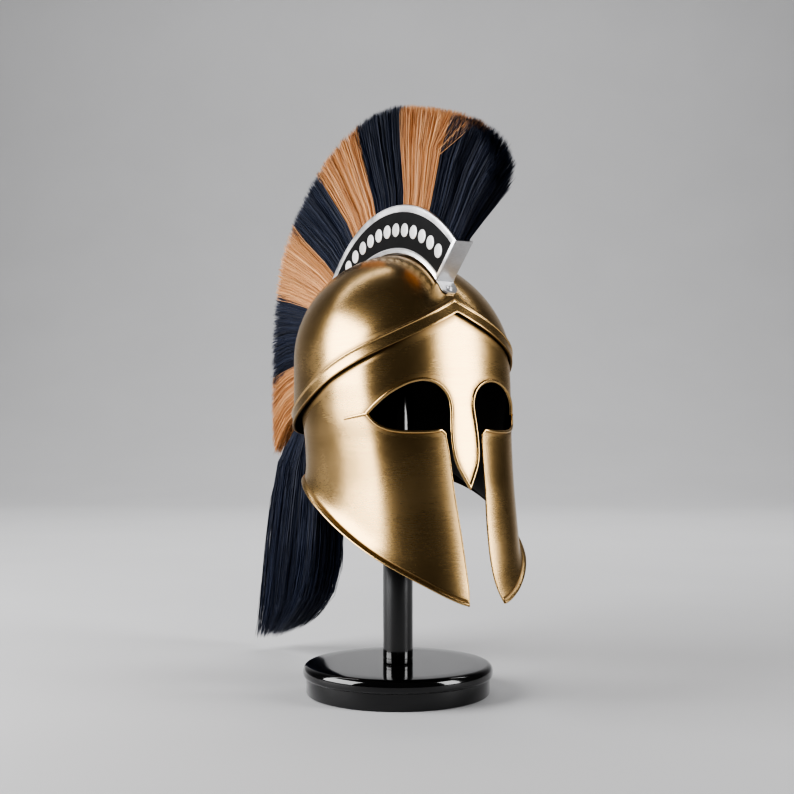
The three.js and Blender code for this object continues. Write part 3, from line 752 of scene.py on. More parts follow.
@dataclass
class SkullDome:
    """The crown of the helmet with the raised band along its lower edge."""

    form: ShellForm
    finish: bpy.types.Material
    turns: int = 288
    upper_rows: int = 44
    inner_rows: int = 22
    band_rows: Stations = (   # height above the edge, and how far the face stands out
        (0.0, -1.4), (0.0, 0.85), (0.18, 1.2), (0.6, 1.38), (2.2, 1.3), (5.5, 1.22), (9.0, 1.3),
        (9.9, 1.36), (10.25, 1.5), (10.55, 1.95), (11.0, 2.25), (11.6, 2.3), (12.1, 2.1), (12.45, 1.5),
        (12.6, 0.6), (12.8, 0.12), (13.4, 0.0))

    def rows(self) -> Rows:
        """Return the rows of the dome, from its crown inside to its crown outside."""
        angle = np.linspace(0, 360, self.turns + 1)
        edge = self.form.band_edge(self.form.from_front(angle))
        made = []
        for share in np.linspace(1, 0, self.inner_rows):
            made.append(self.upper_row(angle, edge, share, -self.form.sheet))
        for above, proud in self.band_rows:
            made.append(self.form.dome(angle, edge + above, np.full_like(edge, proud)))
        for share in np.linspace(0, 1, self.upper_rows)[1:]:
            made.append(self.upper_row(angle, edge, share, 0.0))
        return np.array(made)

    def upper_row(self, angle: np.ndarray, edge: np.ndarray, share: float, proud: float) -> np.ndarray:
        """Return one row above the band, `share` of the way to the crown."""
        start = edge + self.band_rows[-1][0]
        crown = self.form.dome_level + self.form.dome_rise + proud
        height = mix(start, crown, math.sin(share * math.pi / 2))
        return self.form.dome(angle, height, np.full_like(edge, proud))

    def patina_and_shade(self, piece: bpy.types.Object) -> None:
        """Darken the metal above the band's lip and along the band's lower edge, partly as patina and partly as painted
        shade in the crease and under the edge.
        """
        angle, z = self.form.place_on(read_points(piece))
        above = z - self.form.band_edge(angle)
        # partly patina, partly painted shade in the crease just above the band's lip
        over = np.exp(-np.maximum(0, above - 13.0) / 1.1) * (above > 12.3)
        # painted shade along the band's lower edge, where the band overhangs the mask
        under = np.exp(-np.maximum(0, above) / 0.5) * 0.7
        paint(piece, "patina_and_shade", np.clip(over * 0.9 + under, 0, 1))
        # paint the inner faces near black, a painted shade
        paint(piece, "inside", self.form.inside_dome(read_points(piece) / MM).astype(float))

    def build(self) -> None:
        """Model the dome and dress it."""
        piece = loft("helmet_skull_dome", self.rows(), 50)
        self.patina_and_shade(piece)
        finish_piece(piece, self.finish, ["skull_dome"])


@dataclass
class FaceMask:
    """Face, cheek pieces and neck guard in one sheet, with its beads and rolled rim."""

    form: ShellForm
    opening: FaceOpening
    finish: bpy.types.Material
    turns: int = 320
    wall_rows: int = 76
    inner_rows: int = 26
    lap: float = 9
    roll_centre: tuple[float, float] = (1.8, 0.15)
    roll_radius: float = 1.75
    groove: Stations = ((3.75, 0.1), (4.05, -0.35), (4.45, -0.5), (4.85, -0.35), (5.3, -0.06),
                        (5.9, 0.0))
    eye_bead: float = 1.65
    cheek_bead: float = 0.85
    tail_from: tuple[float, float] = (49.3, 260.3)
    tail_to: tuple[float, float] = (63.6, 256.2)

    def wall(self) -> bpy.types.Object:
        """Model the whole wall, closed all the way round."""
        angle = np.linspace(0, 360, self.turns + 1)
        turn = self.form.from_front(angle)
        rim = self.form.rim(turn)
        top = self.form.band_edge(turn) + self.lap
        above, out = self.roll_centre
        made = []
        for theta in np.radians(np.linspace(-110, 62, 9)):
            lift = max(0.0, above + self.roll_radius * math.sin(theta))
            made.append((rim + lift, out + self.roll_radius * math.cos(theta)))
        made += [(rim + lift, reach) for lift, reach in self.groove]
        start = rim + self.groove[-1][0]
        made += [(mix(start, top, share), 0.0) for share in np.linspace(0, 1, self.wall_rows)[1:]]
        made += [(mix(rim + 0.8, top, share), -self.form.sheet)
                 for share in np.linspace(1, 0, self.inner_rows)]
        made.append(made[0])
        rows = [self.form.mask(angle, z, np.full_like(z, reach)) for z, reach in made]
        return loft("helmet_face_mask", np.array(rows), 50)

    def cutter(self) -> bpy.types.Object:
        """Model the block that cuts the face opening: its outline, run outwards from the axis."""
        path, _ = self.opening.outline(1.4)
        below = np.array([[path[0, 0], 80.0]])
        corners = np.concatenate([below, path, below * np.array([-1, 1])])
        deselect()
        bpy.ops.mesh.primitive_circle_add(vertices=len(corners), radius=1, fill_type="NGON")
        block = bpy.context.object
        bpy.ops.object.mode_set(mode="EDIT")
        bpy.ops.mesh.select_all(action="SELECT")
        bpy.ops.mesh.extrude_region_move(TRANSFORM_OT_translate={"value": (0, 0, 1)})
        bpy.ops.object.mode_set(mode="OBJECT")
        flat = read_points(block)
        step = np.degrees(np.arctan2(flat[:, 1], flat[:, 0])) / (360 / len(corners))
        index = np.rint(step).astype(int) % len(corners)
        radius = mix(50.0, 290.0, np.rint(flat[:, 2]))
        angle, z = corners[index].T
        write_points(block, self.form.point(angle, radius, z, self.form.centre) * MM)
        close_up(block)
        return block

    def bead(self) -> bpy.types.Object:
        """Model the raised bead along the whole edge of the opening."""
        path, eye = self.opening.outline(1.3)
        radius = np.where(eye > 0, self.eye_bead, self.cheek_bead)
        radius = np.convolve(np.pad(radius, 2, mode="edge"), np.ones(5) / 5, mode="valid")
        sink = np.where(eye > 0, -0.15, -0.45)
        return self.bar("opening_bead", path, radius, sink, 12)

    def bar(self, name: str, path: np.ndarray, radius: np.ndarray, sink: np.ndarray,
            sides: int) -> bpy.types.Object:
        """Model a round bar along a path on the mask.

        Args:
            name: the bar's name.
            path: the (angle, height) of its points.
            radius: its radius at each point.
            sink: how far its middle lies outside the mask's face.
            sides: the number of its sides.

        Returns:
            The closed bar.
        """
        angle, z = path.T
        middle = self.form.mask(angle, z, sink)
        normal = self.form.outward(angle, z)
        before = np.diff(middle, axis=0, prepend=middle[:1] - (middle[1:2] - middle[:1]))
        after = np.diff(middle, axis=0, append=middle[-1:] + (middle[-1:] - middle[-2:-1]))
        before /= np.linalg.norm(before, axis=1, keepdims=True)
        after /= np.linalg.norm(after, axis=1, keepdims=True)
        along = before + after
        along /= np.linalg.norm(along, axis=1, keepdims=True)
        mitre = 1 / np.clip(np.sum(along * after, axis=1), 0.62, 1)
        side = np.cross(along, normal)
        side /= np.linalg.norm(side, axis=1, keepdims=True)
        theta = np.linspace(0, 2 * math.pi, sides + 1)
        rows = (middle[:, None]
                + (radius[:, None] * np.cos(theta))[..., None] * normal[:, None]
                + ((radius * mitre)[:, None] * np.sin(theta))[..., None] * side[:, None])
        return loft(name, rows, 60)

    def tail(self, side: int) -> bpy.types.Object:
        """Model the short raised bar at an eye's outer corner."""
        share = np.linspace(0, 1, 14)
        path = np.stack([side * mix(self.tail_from[0], self.tail_to[0], share),
                         mix(self.tail_from[1], self.tail_to[1], share)], axis=1)
        return self.bar("eye_tail", path, mix(1.75, 1.35, share), np.full(14, 0.1), 12)

    def patina_and_shade(self, piece: bpy.types.Object) -> None:
        """Darken the metal beside the beads and in the rim's groove, partly patina and partly painted shade, and paint
        shade under the dome's band.
        """
        angle, z = self.form.place_on(read_points(piece))
        gap, eye = self.opening.distance(angle, z)
        # partly patina, partly painted shade beside the raised beads
        beside = np.exp(-np.maximum(0, gap - 1.9) / 1.3) * np.where(eye > 0, 0.85, 0.15)
        lift = z - self.form.rim(angle)
        # partly patina, partly painted shade in the rim's groove
        groove = np.exp(-((lift - 4.45) / 0.75) ** 2) * 0.95
        # painted shade under the dome's overhanging band
        under = ramp(-9, 0, z - self.form.band_edge(angle)) * 0.75
        paint(piece, "patina_and_shade", np.clip(beside + groove + under, 0, 1))
        # paint the inner faces near black, a painted shade
        flat = read_points(piece) / MM
        away = np.hypot(flat[:, 0], flat[:, 1] + self.form.centre)
        paint(piece, "inside", (away < self.form.mask_radius(angle, z) - 0.8).astype(float))

    def build(self) -> None:
        """Model the mask, cut its opening, add its beads and dress them."""
        wall = self.wall()
        block = self.cutter()
        apply_modifier(wall, "BOOLEAN", operation="DIFFERENCE", solver="EXACT", object=block)
        bpy.data.objects.remove(block)
        shade(wall, 50)
        self.patina_and_shade(wall)
        finish_piece(wall, self.finish, ["face_mask"])
        beads = join("helmet_opening_beads", [self.bead(), self.tail(1), self.tail(-1)])
        for name in ("patina_and_shade", "inside"):
            paint(beads, name, np.zeros(len(beads.data.vertices)))
        finish_piece(beads, self.finish, [])


@dataclass
class LeatherLiner:
    """The dark leather that lines the helmet."""

    form: ShellForm
    finish: bpy.types.Material
    turns: int = 120
    top: float = 332
    gap: float = 1.6
    thickness: float = 2.0
    edge: SmoothTable = SmoothTable((
        (0, 300), (50, 300), (61, 205), (72, 182), (95, 190), (120, 208), (150, 216), (180, 218)))

    def build(self) -> None:
        """Model the liner with its rounded edge and dress it."""
        angle = np.linspace(0, 360, self.turns + 1)
        low = self.edge(self.form.from_front(angle))
        outside = -self.form.sheet - self.gap
        section = [(share, outside) for share in np.linspace(0, 1, 26)]
        section += [(share, outside - self.thickness) for share in np.linspace(1, 0, 26)]
        section += [(-0.006, outside - self.thickness * 0.8), (-0.008, outside - self.thickness * 0.5),
                    (-0.006, outside - self.thickness * 0.2), section[0]]
        rows = []
        for share, out in section:
            z = mix(low, np.full_like(low, self.top), share)
            rows.append(self.form.mask(angle, z, np.full_like(z, out)))
        piece = loft("helmet_leather_liner", np.array(rows), 60)
        finish_piece(piece, self.finish, ["leather_liner"])


# ---------------------------------------------------------------- crest

@dataclass(frozen=True)
class CrestForm:
    """The crest's curves in the middle plane; angles run from straight up to the front."""

    shell: ShellForm
    forward: float = 3
    height: float = 303
    front: float = 45.5
    rear: float = -105
    reach: float = 152.5
    rear_gain: float = 12
    dome_gap: float = 1.2
    half_width: float = 8

    def point(self, angle: np.ndarray, radius: np.ndarray) -> np.ndarray:
        """Return (forward, height) for an angle and a radius."""
        a = np.radians(angle)
        return np.stack(np.broadcast_arrays(
            self.forward + radius * np.sin(a), self.height + radius * np.cos(a)), axis=-1)

    def place(self, angle: np.ndarray, radius: np.ndarray, x: np.ndarray) -> np.ndarray:
        """Return points in space for an angle, a radius and a place across."""
        spot = self.point(angle, radius)
        return np.stack(np.broadcast_arrays(x, -spot[..., 0], spot[..., 1]), axis=-1)

    def dome_reach(self, z: np.ndarray, ahead: bool) -> np.ndarray:
        """Return the dome's forward reach in the middle plane at a height."""
        z = np.asarray(z, float)
        turn = np.zeros_like(z) if ahead else np.full_like(z, 180.0)
        radius, centre = self.shell.dome_section(turn, z, np.zeros_like(z))
        return centre + radius if ahead else centre - radius

    def dome_radius(self, angle: np.ndarray) -> np.ndarray:
        """Return the radius at which the dome's face lies."""
        angle = np.asarray(angle, float)
        low, high = np.full_like(angle, 60.0), np.full_like(angle, 160.0)
        top = self.shell.dome_level + self.shell.dome_rise
        for _ in range(26):
            middle = (low + high) / 2
            forward, z = np.moveaxis(self.point(angle, middle), -1, 0)
            inside = ((z <= top) & (forward > self.dome_reach(z, False))
                      & (forward < self.dome_reach(z, True)))
            low, high = np.where(inside, middle, low), np.where(inside, high, middle)
        return high

    def inner(self, angle: np.ndarray) -> np.ndarray:
        """Return the radius of the crest's inner edge."""
        return self.dome_radius(angle) + self.dome_gap

    def outer(self, angle: np.ndarray) -> np.ndarray:
        """Return the radius of the crest's outer edge."""
        return self.reach + self.rear_gain * ramp(45, -self.rear, -np.asarray(angle, float))


@dataclass
class CrestFrame:
    """The silver plume holder: its walls, rails, end plates, rivets and studded strips."""

    form: CrestForm
    silver: bpy.types.Material
    pewter: bpy.types.Material
    pearl: bpy.types.Material
    ground: bpy.types.Material
    steps: int = 132
    outer_rail: float = 7
    inner_rail: float = 5
    stile: float = 3.6
    face: float = 9.2
    back: float = 6.5
    stud_radius: float = 6.3
    stud_first: float = 38.6
    stud_pitch: float = 7
    stud_count: int = 20
    plate: float = 1.5
    tab: float = 15
    clip: float = 4

    def strip(self, name: str, side: int, start: float, end: float, steps: int,
              section: Callable[[np.ndarray], Sequence[tuple[np.ndarray, float]]]) -> bpy.types.Object:
        """Model a bar that follows the crest.

        Args:
            name: the bar's name.
            side: 1 for the left side, -1 for the right.
            start: the angle it starts from.
            end: the angle it runs to.
            steps: the number of steps along it.
            section: gives the (radius, place across) of its corners for each angle.

        Returns:
            The closed bar.
        """
        angle = np.linspace(start, end, steps + 1)
        corners = section(angle)
        columns = [self.form.place(angle, radius, np.full_like(angle, side * x))
                   for radius, x in corners]
        return loft(name, closed_rows(np.stack(columns, axis=1)), 35)

    def rails(self) -> bpy.types.Object:
        """Model the rails, end stiles and walls of both sides as one soldered frame."""
        front, rear = self.form.front, self.form.rear
        turn = math.degrees(self.stile / self.form.reach)
        face, back = self.face, self.back

        def outer(angle: np.ndarray) -> list[tuple[np.ndarray, float]]:
            """Return the outer rail's section, a flat bar with a rounded top."""
            r = self.form.outer(angle)
            return [(r - self.outer_rail, back), (r - self.outer_rail, face - 0.5),
                    (r - self.outer_rail + 0.4, face - 0.1), (r - 4.6, face), (r - 2.2, face),
                    (r - 1.0, face - 0.25), (r - 0.35, face - 0.8), (r, face - 1.6), (r, back)]

        def inner(angle: np.ndarray) -> list[tuple[np.ndarray, float]]:
            """Return the inner rail's section, an angle bar whose foot spreads on the dome."""
            r = self.form.inner(angle)
            return [(r, back), (r, face + 0.35), (r + 0.3, face + 0.5), (r + 3.1, face - 0.45),
                    (r + 3.5, face - 0.1), (r + 4.5, face), (r + self.inner_rail - 0.2, face - 0.2),
                    (r + self.inner_rail, face - 0.6), (r + self.inner_rail, back)]

        def wall(angle: np.ndarray) -> list[tuple[np.ndarray, float]]:
            """Return the side wall's section."""
            low, high = self.form.inner(angle) + 0.5, self.form.outer(angle) - 0.4
            return [(low, back), (low, 8.0), (high, 8.0), (high, back)]

        def upright(angle: np.ndarray) -> list[tuple[np.ndarray, float]]:
            """Return an end stile's section."""
            low, high = self.form.inner(angle) + 0.3, self.form.outer(angle) - 0.3
            return [(low, back), (low, face - 0.15), (low + 0.4, face + 0.02), (high - 0.4, face + 0.02),
                    (high, face - 0.15), (high, back)]

        bars = []
        for side in (1, -1):
            bars += [self.strip("rail", side, front, rear, self.steps, outer),
                     self.strip("rail", side, front, rear, self.steps, inner),
                     self.strip("wall", side, front - 0.2, rear + 0.2, self.steps, wall),
                     self.strip("stile", side, front, front - turn, 2, upright),
                     self.strip("stile", side, rear + turn, rear, 2, upright)]
        angle = np.linspace(front - 0.3, rear + 0.3, self.steps)
        low = self.form.inner(angle) + 0.6
        floor = [self.form.place(angle, low + lift, np.full_like(angle, x))
                 for lift, x in ((0, -7.0), (0, 7.0), (1.6, 7.0), (1.6, -7.0))]
        bars.append(loft("floor", closed_rows(np.stack(floor, axis=1)), 35))
        return join("crest_rails", bars)

    def plate_path(self, angle: float, ahead: bool) -> np.ndarray:
        """Return the middle-plane path of an end plate, bent into its tab on the dome."""
        side = 1 if ahead else -1
        inset = angle - side * 0.25
        top = self.form.point(inset, self.form.outer(angle))
        foot = self.form.point(inset, self.form.dome_radius(angle) + 3.5)
        heights = np.linspace(foot[1] - 0.2 * self.tab, foot[1] - self.tab, 9)
        tab = np.stack([self.form.dome_reach(heights, ahead) + side * 0.4, heights], axis=1)
        bend = [mix(mix(top, foot, 0.93), foot, t) * (1 - t) + mix(foot, tab[0], t) * t
                for t in np.linspace(0, 1, 6)]
        straight = [mix(top, foot, share) for share in np.linspace(0, 0.88, 8)]
        return np.array([*straight, *bend, *tab[1:]])

    def end_plate(self, angle: float, ahead: bool) -> bpy.types.Object:
        """Model an end plate with its tab, whose lower corners are cut off."""
        side = 1 if ahead else -1
        inner = self.plate_path(angle, ahead)
        along = np.gradient(inner, axis=0)
        along /= np.linalg.norm(along, axis=1, keepdims=True)
        outer = inner + side * self.plate * np.stack([-along[:, 1], along[:, 0]], axis=1)
        run = np.concatenate([[0], np.cumsum(np.linalg.norm(np.diff(inner, axis=0), axis=1))])
        left = run[-1] - run
        half = np.where(left < self.clip, self.form.half_width - self.clip + left, self.form.half_width)
        half = np.where(run < run[-1] - self.tab, self.form.half_width + 0.6, half)
        columns = []
        for share, rim in ((0.0, 0.0), (0.25, -0.25), (0.75, -0.25), (1.0, 0.0)):
            spot = mix(inner, outer, share)
            columns.append(np.stack([half + rim, -spot[:, 0], spot[:, 1]], axis=1))
        mirror = [column * np.array([-1, 1, 1]) for column in columns[::-1]]
        return loft("end_plate", closed_rows(np.stack(columns + mirror, axis=1)), 30)

    def rivet(self, angle: float, ahead: bool) -> bpy.types.Object:
        """Model a domed rivet on its raised ring, square to the tab."""
        side = 1 if ahead else -1
        z = self.form.point(angle, self.form.dome_radius(angle) + 3.5)[1] - self.tab + 5
        reach = self.form.dome_reach(np.array([z - 1, z, z + 1]), ahead)
        lean = math.atan2(side * (reach[0] - reach[2]), 2)
        out = np.array([0, -side * math.cos(lean), math.sin(lean)])
        up = np.array([0, side * math.sin(lean), math.cos(lean)])
        middle = np.array([0, -(reach[1] + side * 0.4), z]) + out * (self.plate + 0.02)
        profile = ((0, 0.0), (3.3, 0.0), (3.3, 0.35), (3.05, 0.6), (2.65, 0.62), (2.45, 0.42), (2.3, 0.5),
                   (2.15, 1.0), (1.75, 1.5), (1.1, 1.85), (0.5, 1.98), (0, 2.0))
        theta = np.linspace(0, 2 * math.pi, 33)
        across = (np.cos(theta)[:, None] * np.array([1.0, 0, 0]) + np.sin(theta)[:, None] * up)
        rows = [middle + out * height + across * radius for radius, height in profile]
        return loft("rivet", np.array(rows), 30)

    def ground_strip(self, side: int) -> bpy.types.Object:
        """Model the black strip between the rails of one side."""
        turn = math.degrees((self.stile + 0.3) / self.form.reach)

        def section(angle: np.ndarray) -> list[tuple[np.ndarray, float]]:
            """Return the strip's section."""
            low = self.form.inner(angle) + self.inner_rail - 0.6
            high = self.form.outer(angle) - self.outer_rail + 0.6
            return [(low, 8.02), (low, 8.6), (low + 0.9, 8.72), (high - 0.9, 8.72), (high, 8.6),
                    (high, 8.02)]

        return self.strip("crest_ground", side, self.form.front - turn, self.form.rear + turn,
                          self.steps, section)

    def studs(self, side: int) -> bpy.types.Object:
        """Model one side's row of round studs: one stud is made and the rest are its copies."""
        profile = ((0, 0.0), (1.0, 0.0), (1.0, 0.55), (0.965, 0.8), (0.9, 0.92), (0.6, 1.0),
                   (0.3, 1.04), (0, 1.05))
        theta = np.linspace(0, 2 * math.pi, 37)
        ring = np.stack([np.zeros_like(theta), np.cos(theta), np.sin(theta)], axis=1)
        across = np.array([side * 1.0, 0, 0])
        rows = np.array([across * height * 0.95 + ring * radius * self.stud_radius
                         for radius, height in profile])
        first = loft("stud", rows, 30)
        pattern = read_points(first)
        made = []
        for i in range(self.stud_count):
            angle = self.stud_first - i * self.stud_pitch
            low = self.form.inner(angle) + self.inner_rail
            high = self.form.outer(angle) - self.outer_rail
            spot = self.form.place(angle, (low + high) / 2, side * 8.6)
            copy = first.copy()
            copy.data = first.data.copy()
            bpy.context.collection.objects.link(copy)
            write_points(copy, pattern + spot * MM)
            made.append(copy)
        bpy.data.objects.remove(first)
        name = "crest_studs_left" if side > 0 else "crest_studs_right"
        return join(name, made)

    def build(self) -> None:
        """Model the crest's metalwork and dress it."""
        finish_piece(self.rails(), self.silver, ["crest_frame"])
        plates = join("crest_end_plates", [
            self.end_plate(self.form.front, True), self.end_plate(self.form.rear, False)])
        finish_piece(plates, self.pewter, [])
        for node, angle, ahead in (("crest_rivet_front", self.form.front, True),
                                   ("crest_rivet_rear", self.form.rear, False)):
            rivet = self.rivet(angle, ahead)
            rivet.name = rivet.data.name = node + "_head"
            finish_piece(rivet, self.silver, [node])
        for side, word in ((1, "left"), (-1, "right")):
            strip = self.ground_strip(side)
            strip.name = strip.data.name = f"crest_ground_{word}"
            finish_piece(strip, self.ground, [f"crest_inlay_{word}"])
            finish_piece(self.studs(side), self.pearl, [])


# ---------------------------------------------------------------- hair

@dataclass(frozen=True)
class HairStyle:
    """How the hairs of one band lie."""

    count: int
    rings: int
    thickness: float
    clumps: int
    gather: float             # how far the tips draw together in tufts
    stray: float              # how far single hairs wander, in millimetres


def ring_places(rings: int) -> np.ndarray:
    """Return the places of a hair's rings from root to tip, closer together towards the tip."""
    even = np.linspace(0, 1, rings)
    return np.concatenate([0.965 * (1 - (1 - even) ** 1.35), [1.0]])


def hair_mesh(name: str, paths: np.ndarray, thickness: np.ndarray,
              shade_of: np.ndarray) -> bpy.types.Object:
    """Make one piece of many hairs, each a slim closed three-sided spike.

    Args:
        name: the piece's name.
        paths: the hairs' middle lines in millimetres, as (hairs, points, 3).
        thickness: each hair's greatest radius.
        shade_of: each hair's own shade from 0 to 1.

    Returns:
        The piece, with its shade and along numbers painted.
    """
    hairs, points = paths.shape[:2]
    rings = points - 1
    along = ring_places(rings)
    tangent = np.gradient(paths, axis=1)
    tangent /= np.linalg.norm(tangent, axis=2, keepdims=True) + 1e-9
    reference = np.array([1.0, 0.0, 0.0])
    side = np.cross(tangent, reference)
    side /= np.linalg.norm(side, axis=2, keepdims=True) + 1e-9
    other = np.cross(tangent, side)
    width = thickness[:, None] * np.clip(1.15 - along ** 4 * 0.6, 0.1, 1)
    corners = []
    for k in range(3):
        turn = 2 * math.pi * k / 3 + shade_of[:, None] * 40
        corners.append(paths + (width * np.cos(turn))[..., None] * side
                       + (width * np.sin(turn))[..., None] * other)
    body = np.stack(corners, axis=2)[:, :rings]
    tips = paths[:, -1:, :]
    verts = np.concatenate([body.reshape(hairs, -1, 3), tips], axis=1)
    per = 3 * rings + 1
    quads = []
    for ring in range(rings - 1):
        for k in range(3):
            a, b = 3 * ring + k, 3 * ring + (k + 1) % 3
            quads.append((a, b, b + 3, a + 3))
    last = 3 * (rings - 1)
    threes = [(last + k, last + (k + 1) % 3, per - 1) for k in range(3)] + [(2, 1, 0)]
    start = (np.arange(hairs) * per)[:, None, None]
    quad_index = (start + np.array(quads)[None]).reshape(-1, 4)
    three_index = (start + np.array(threes)[None]).reshape(-1, 3)
    mesh = bpy.data.meshes.new(name)
    mesh.vertices.add(verts.shape[0] * per)
    mesh.vertices.foreach_set("co", (verts * MM).astype(np.float32).ravel())
    loops = np.concatenate([quad_index.ravel(), three_index.ravel()])
    mesh.loops.add(len(loops))
    mesh.loops.foreach_set("vertex_index", loops.astype(np.int32))
    mesh.polygons.add(len(quad_index) + len(three_index))
    starts = np.concatenate([np.arange(len(quad_index)) * 4,
                             4 * len(quad_index) + np.arange(len(three_index)) * 3])
    mesh.polygons.foreach_set("loop_start", starts.astype(np.int32))
    mesh.update(calc_edges=True)
    mesh.validate()
    piece = bpy.data.objects.new(name, mesh)
    bpy.context.collection.objects.link(piece)
    paint(piece, "shade", np.repeat(shade_of, per))
    place = np.concatenate([np.repeat(along[:rings], 3), [1.0]])
    paint(piece, "along", np.tile(place, hairs))
    shade(piece, 80)
    return piece


@dataclass
class Plume:
    """The brush of hair along the crest: eight bands in a fan and the long tail."""

    form: CrestForm
    navy: bpy.types.Material
    ginger: bpy.types.Material
    seed: int = 20
    root_half: float = 6
    tip_half: float = 14
    floor_gap: float = 3.6
    overlap: tuple[float, ...] = (0, 7, 1, 1, 1, 1, 1, 1)   # degrees that tips lean over the band ahead
    corner: float = 14        # how far the front corner is rounded off
    ragged: float = 0.34      # how much shorter the tail's shortest hairs are
    fan: HairStyle = HairStyle(4000, 4, 0.27, 170, 0.16, 1.0)
    long: HairStyle = HairStyle(4600, 7, 0.33, 130, 0.38, 8.0)
    edges: Stations = (       # each colour's edges: root and tip angles
        (44.6, 47.5), (23.3, 26.9), (7, 5.3), (-11.8, -15.2), (-29.2, -35.4), (-48.5, -51.9),
        (-66, -70.2), (-82, -92), (-93.5, -109))
    reach: SmoothTable = SmoothTable((
        (-112, 260), (-90, 252), (-75, 256), (-60, 262), (-50, 257), (-37, 253), (-14, 246), (0, 243),
        (12, 239), (30, 240), (40, 240), (48, 231)))
    tail_rows: Stations = (   # outer (forward, height), inner (forward, height), half thickness
        (-203, 244, -154, 235, 10), (-236, 206, -140, 190, 15), (-251, 145, -138, 140, 18),
        (-264, 82, -147, 95, 19), (-276, 34, -172, 60, 18), (-291, 9, -222, 30, 14))

    def gathered(self, rng: np.random.Generator, style: HairStyle) -> tuple[np.ndarray, ...]:
        """Place the hairs of a band.

        Args:
            rng: the band's own source of chance.
            style: how the hairs lie.

        Returns:
            Each hair's root place across and share, its tip's, its length and its shade.
        """
        n, clumps = style.count, style.clumps
        share = rng.uniform(0, 1, n)
        across = np.sign(rng.uniform(-1, 1, n)) * rng.uniform(0, 1, n) ** 0.6
        centre_share = rng.uniform(0, 1, clumps)
        centre_across = np.sign(rng.uniform(-1, 1, clumps)) * rng.uniform(0, 1, clumps) ** 0.6
        gap = (share[:, None] - centre_share) ** 2 * 9 + (across[:, None] - centre_across) ** 2
        tuft = np.argmin(gap, axis=1)
        tip_share = mix(share, centre_share[tuft], style.gather) + rng.normal(0, 0.022, n)
        tip_across = mix(across, centre_across[tuft], style.gather) + rng.normal(0, 0.06, n)
        length = 1 + rng.normal(0, 0.004, clumps)[tuft] + rng.normal(0, 0.009, n)
        tint = np.clip(0.5 + rng.normal(0, 0.1, clumps)[tuft] + rng.normal(0, 0.17, n), 0, 1)
        return share, across, tip_share, tip_across, length, tint

    def fan_band(self, name: str, number: int) -> bpy.types.Object:
        """Comb one colour's hairs out of the crest in a fan.

        Args:
            name: the piece's name.
            number: the band's place, from the front.

        Returns:
            The band as one piece.
        """
        style = self.fan
        rng = np.random.default_rng(self.seed + number)
        front, rear = self.edges[number], self.edges[number + 1]
        share, across, tip_share, tip_across, length, tint = self.gathered(rng, style)
        along = ring_places(style.rings)[None]
        s = mix(share[:, None], np.clip(tip_share, -0.03, 1.03)[:, None], along ** 1.5)
        angle = mix(mix(front[0], front[1], along ** 1.5), mix(rear[0], rear[1], along ** 1.5), s)
        angle = angle + self.overlap[number] * (np.maximum(0, 1 - share * 2.6) ** 1.6)[:, None] * ramp(0.72, 1.0, along)
        root = self.form.inner(angle[:, 0]) + self.floor_gap
        tip = self.reach(angle[:, -1]) * np.minimum(length, 1.012)
        if number == 0:
            tip = tip - self.corner * ramp(0.86, 1.0, 1 - share)
        radius = mix(root[:, None], tip[:, None], along)
        outer = self.form.outer(angle)
        mouth = np.clip((radius - outer) / (tip[:, None] - outer), 0, 1)
        half = mix(self.root_half - 0.4, self.tip_half, np.sin(mouth * math.pi / 2))
        lean = mix(across[:, None], tip_across[:, None], along)
        wave = style.stray * mouth * np.sin(
            along * rng.uniform(2, 5, (style.count, 1)) + rng.uniform(0, 6.3, (style.count, 1)))
        angle = angle + np.degrees(wave / radius) * rng.uniform(0, 1, (style.count, 1))
        fill = np.clip(0.93 + rng.normal(0, 0.05, (style.count, 1)), 0.8, 1.0)
        x = np.clip(lean, -1, 1) * half * fill
        thickness = style.thickness * rng.uniform(0.7, 1.15, style.count)
        return hair_mesh(name, self.form.place(angle, radius, x), thickness, tint)

    def tail(self) -> bpy.types.Object:
        """Comb the long hair behind the neck, which falls almost to the foot."""
        style = self.long
        rng = np.random.default_rng(self.seed + 50)
        share, across, tip_share, tip_across, length, tint = self.gathered(rng, style)
        rows = []
        for outer, inner, radius_of in (
                (-93.8, -103.4, lambda a: self.form.inner(a) + self.floor_gap),
                (-97.0, -103.4, lambda a: self.form.outer(a) + 1.5)):
            ends = np.concatenate([self.form.point(a, radius_of(a)) for a in (outer, inner)])
            rows.append([*ends, self.root_half - 0.4])
        table = np.array([*rows, *self.tail_rows])
        run = np.concatenate([[0], np.cumsum(np.linalg.norm(np.diff(table[:, :2], axis=0), axis=1))])
        run /= run[-1]
        end = np.clip(length - rng.uniform(0, 1, style.count) ** 2 * self.ragged, 0.5, 1.0)
        at = ring_places(style.rings)[None] * end[:, None]
        columns = [SmoothTable(tuple(zip(run, column)))(at) for column in table.T]
        s = mix(share[:, None], np.clip(tip_share, 0, 1)[:, None], at)
        forward = mix(columns[0], columns[2], s)
        height = mix(columns[1], columns[3], s)
        lean = mix(across[:, None], tip_across[:, None], at)
        wave = style.stray * at ** 1.5 * np.sin(
            at * rng.uniform(3, 8, (style.count, 1)) + rng.uniform(0, 6.3, (style.count, 1)))
        forward = forward + wave * rng.uniform(0, 0.8, (style.count, 1))
        x = np.clip(lean, -1, 1) * columns[4] * 0.95
        thickness = style.thickness * rng.uniform(0.7, 1.15, style.count)
        paths = np.stack(np.broadcast_arrays(x, -forward, np.maximum(height, 2.0)), axis=-1)
        return hair_mesh("plume_hair_tail", paths, thickness, tint)

    def build(self) -> None:
        """Comb every band and dress it in its colour."""
        for number in range(len(self.edges) - 1):
            navy = number % 2 == 0
            word = f"{'navy' if navy else 'ginger'}_{number // 2 + 1}"
            piece = self.fan_band(f"plume_hair_{word}", number)
            finish_piece(piece, self.navy if navy else self.ginger,
                         [f"plume_{word}"])
        finish_piece(self.tail(), self.navy, ["plume_tail"])


# ---------------------------------------------------------------- stand

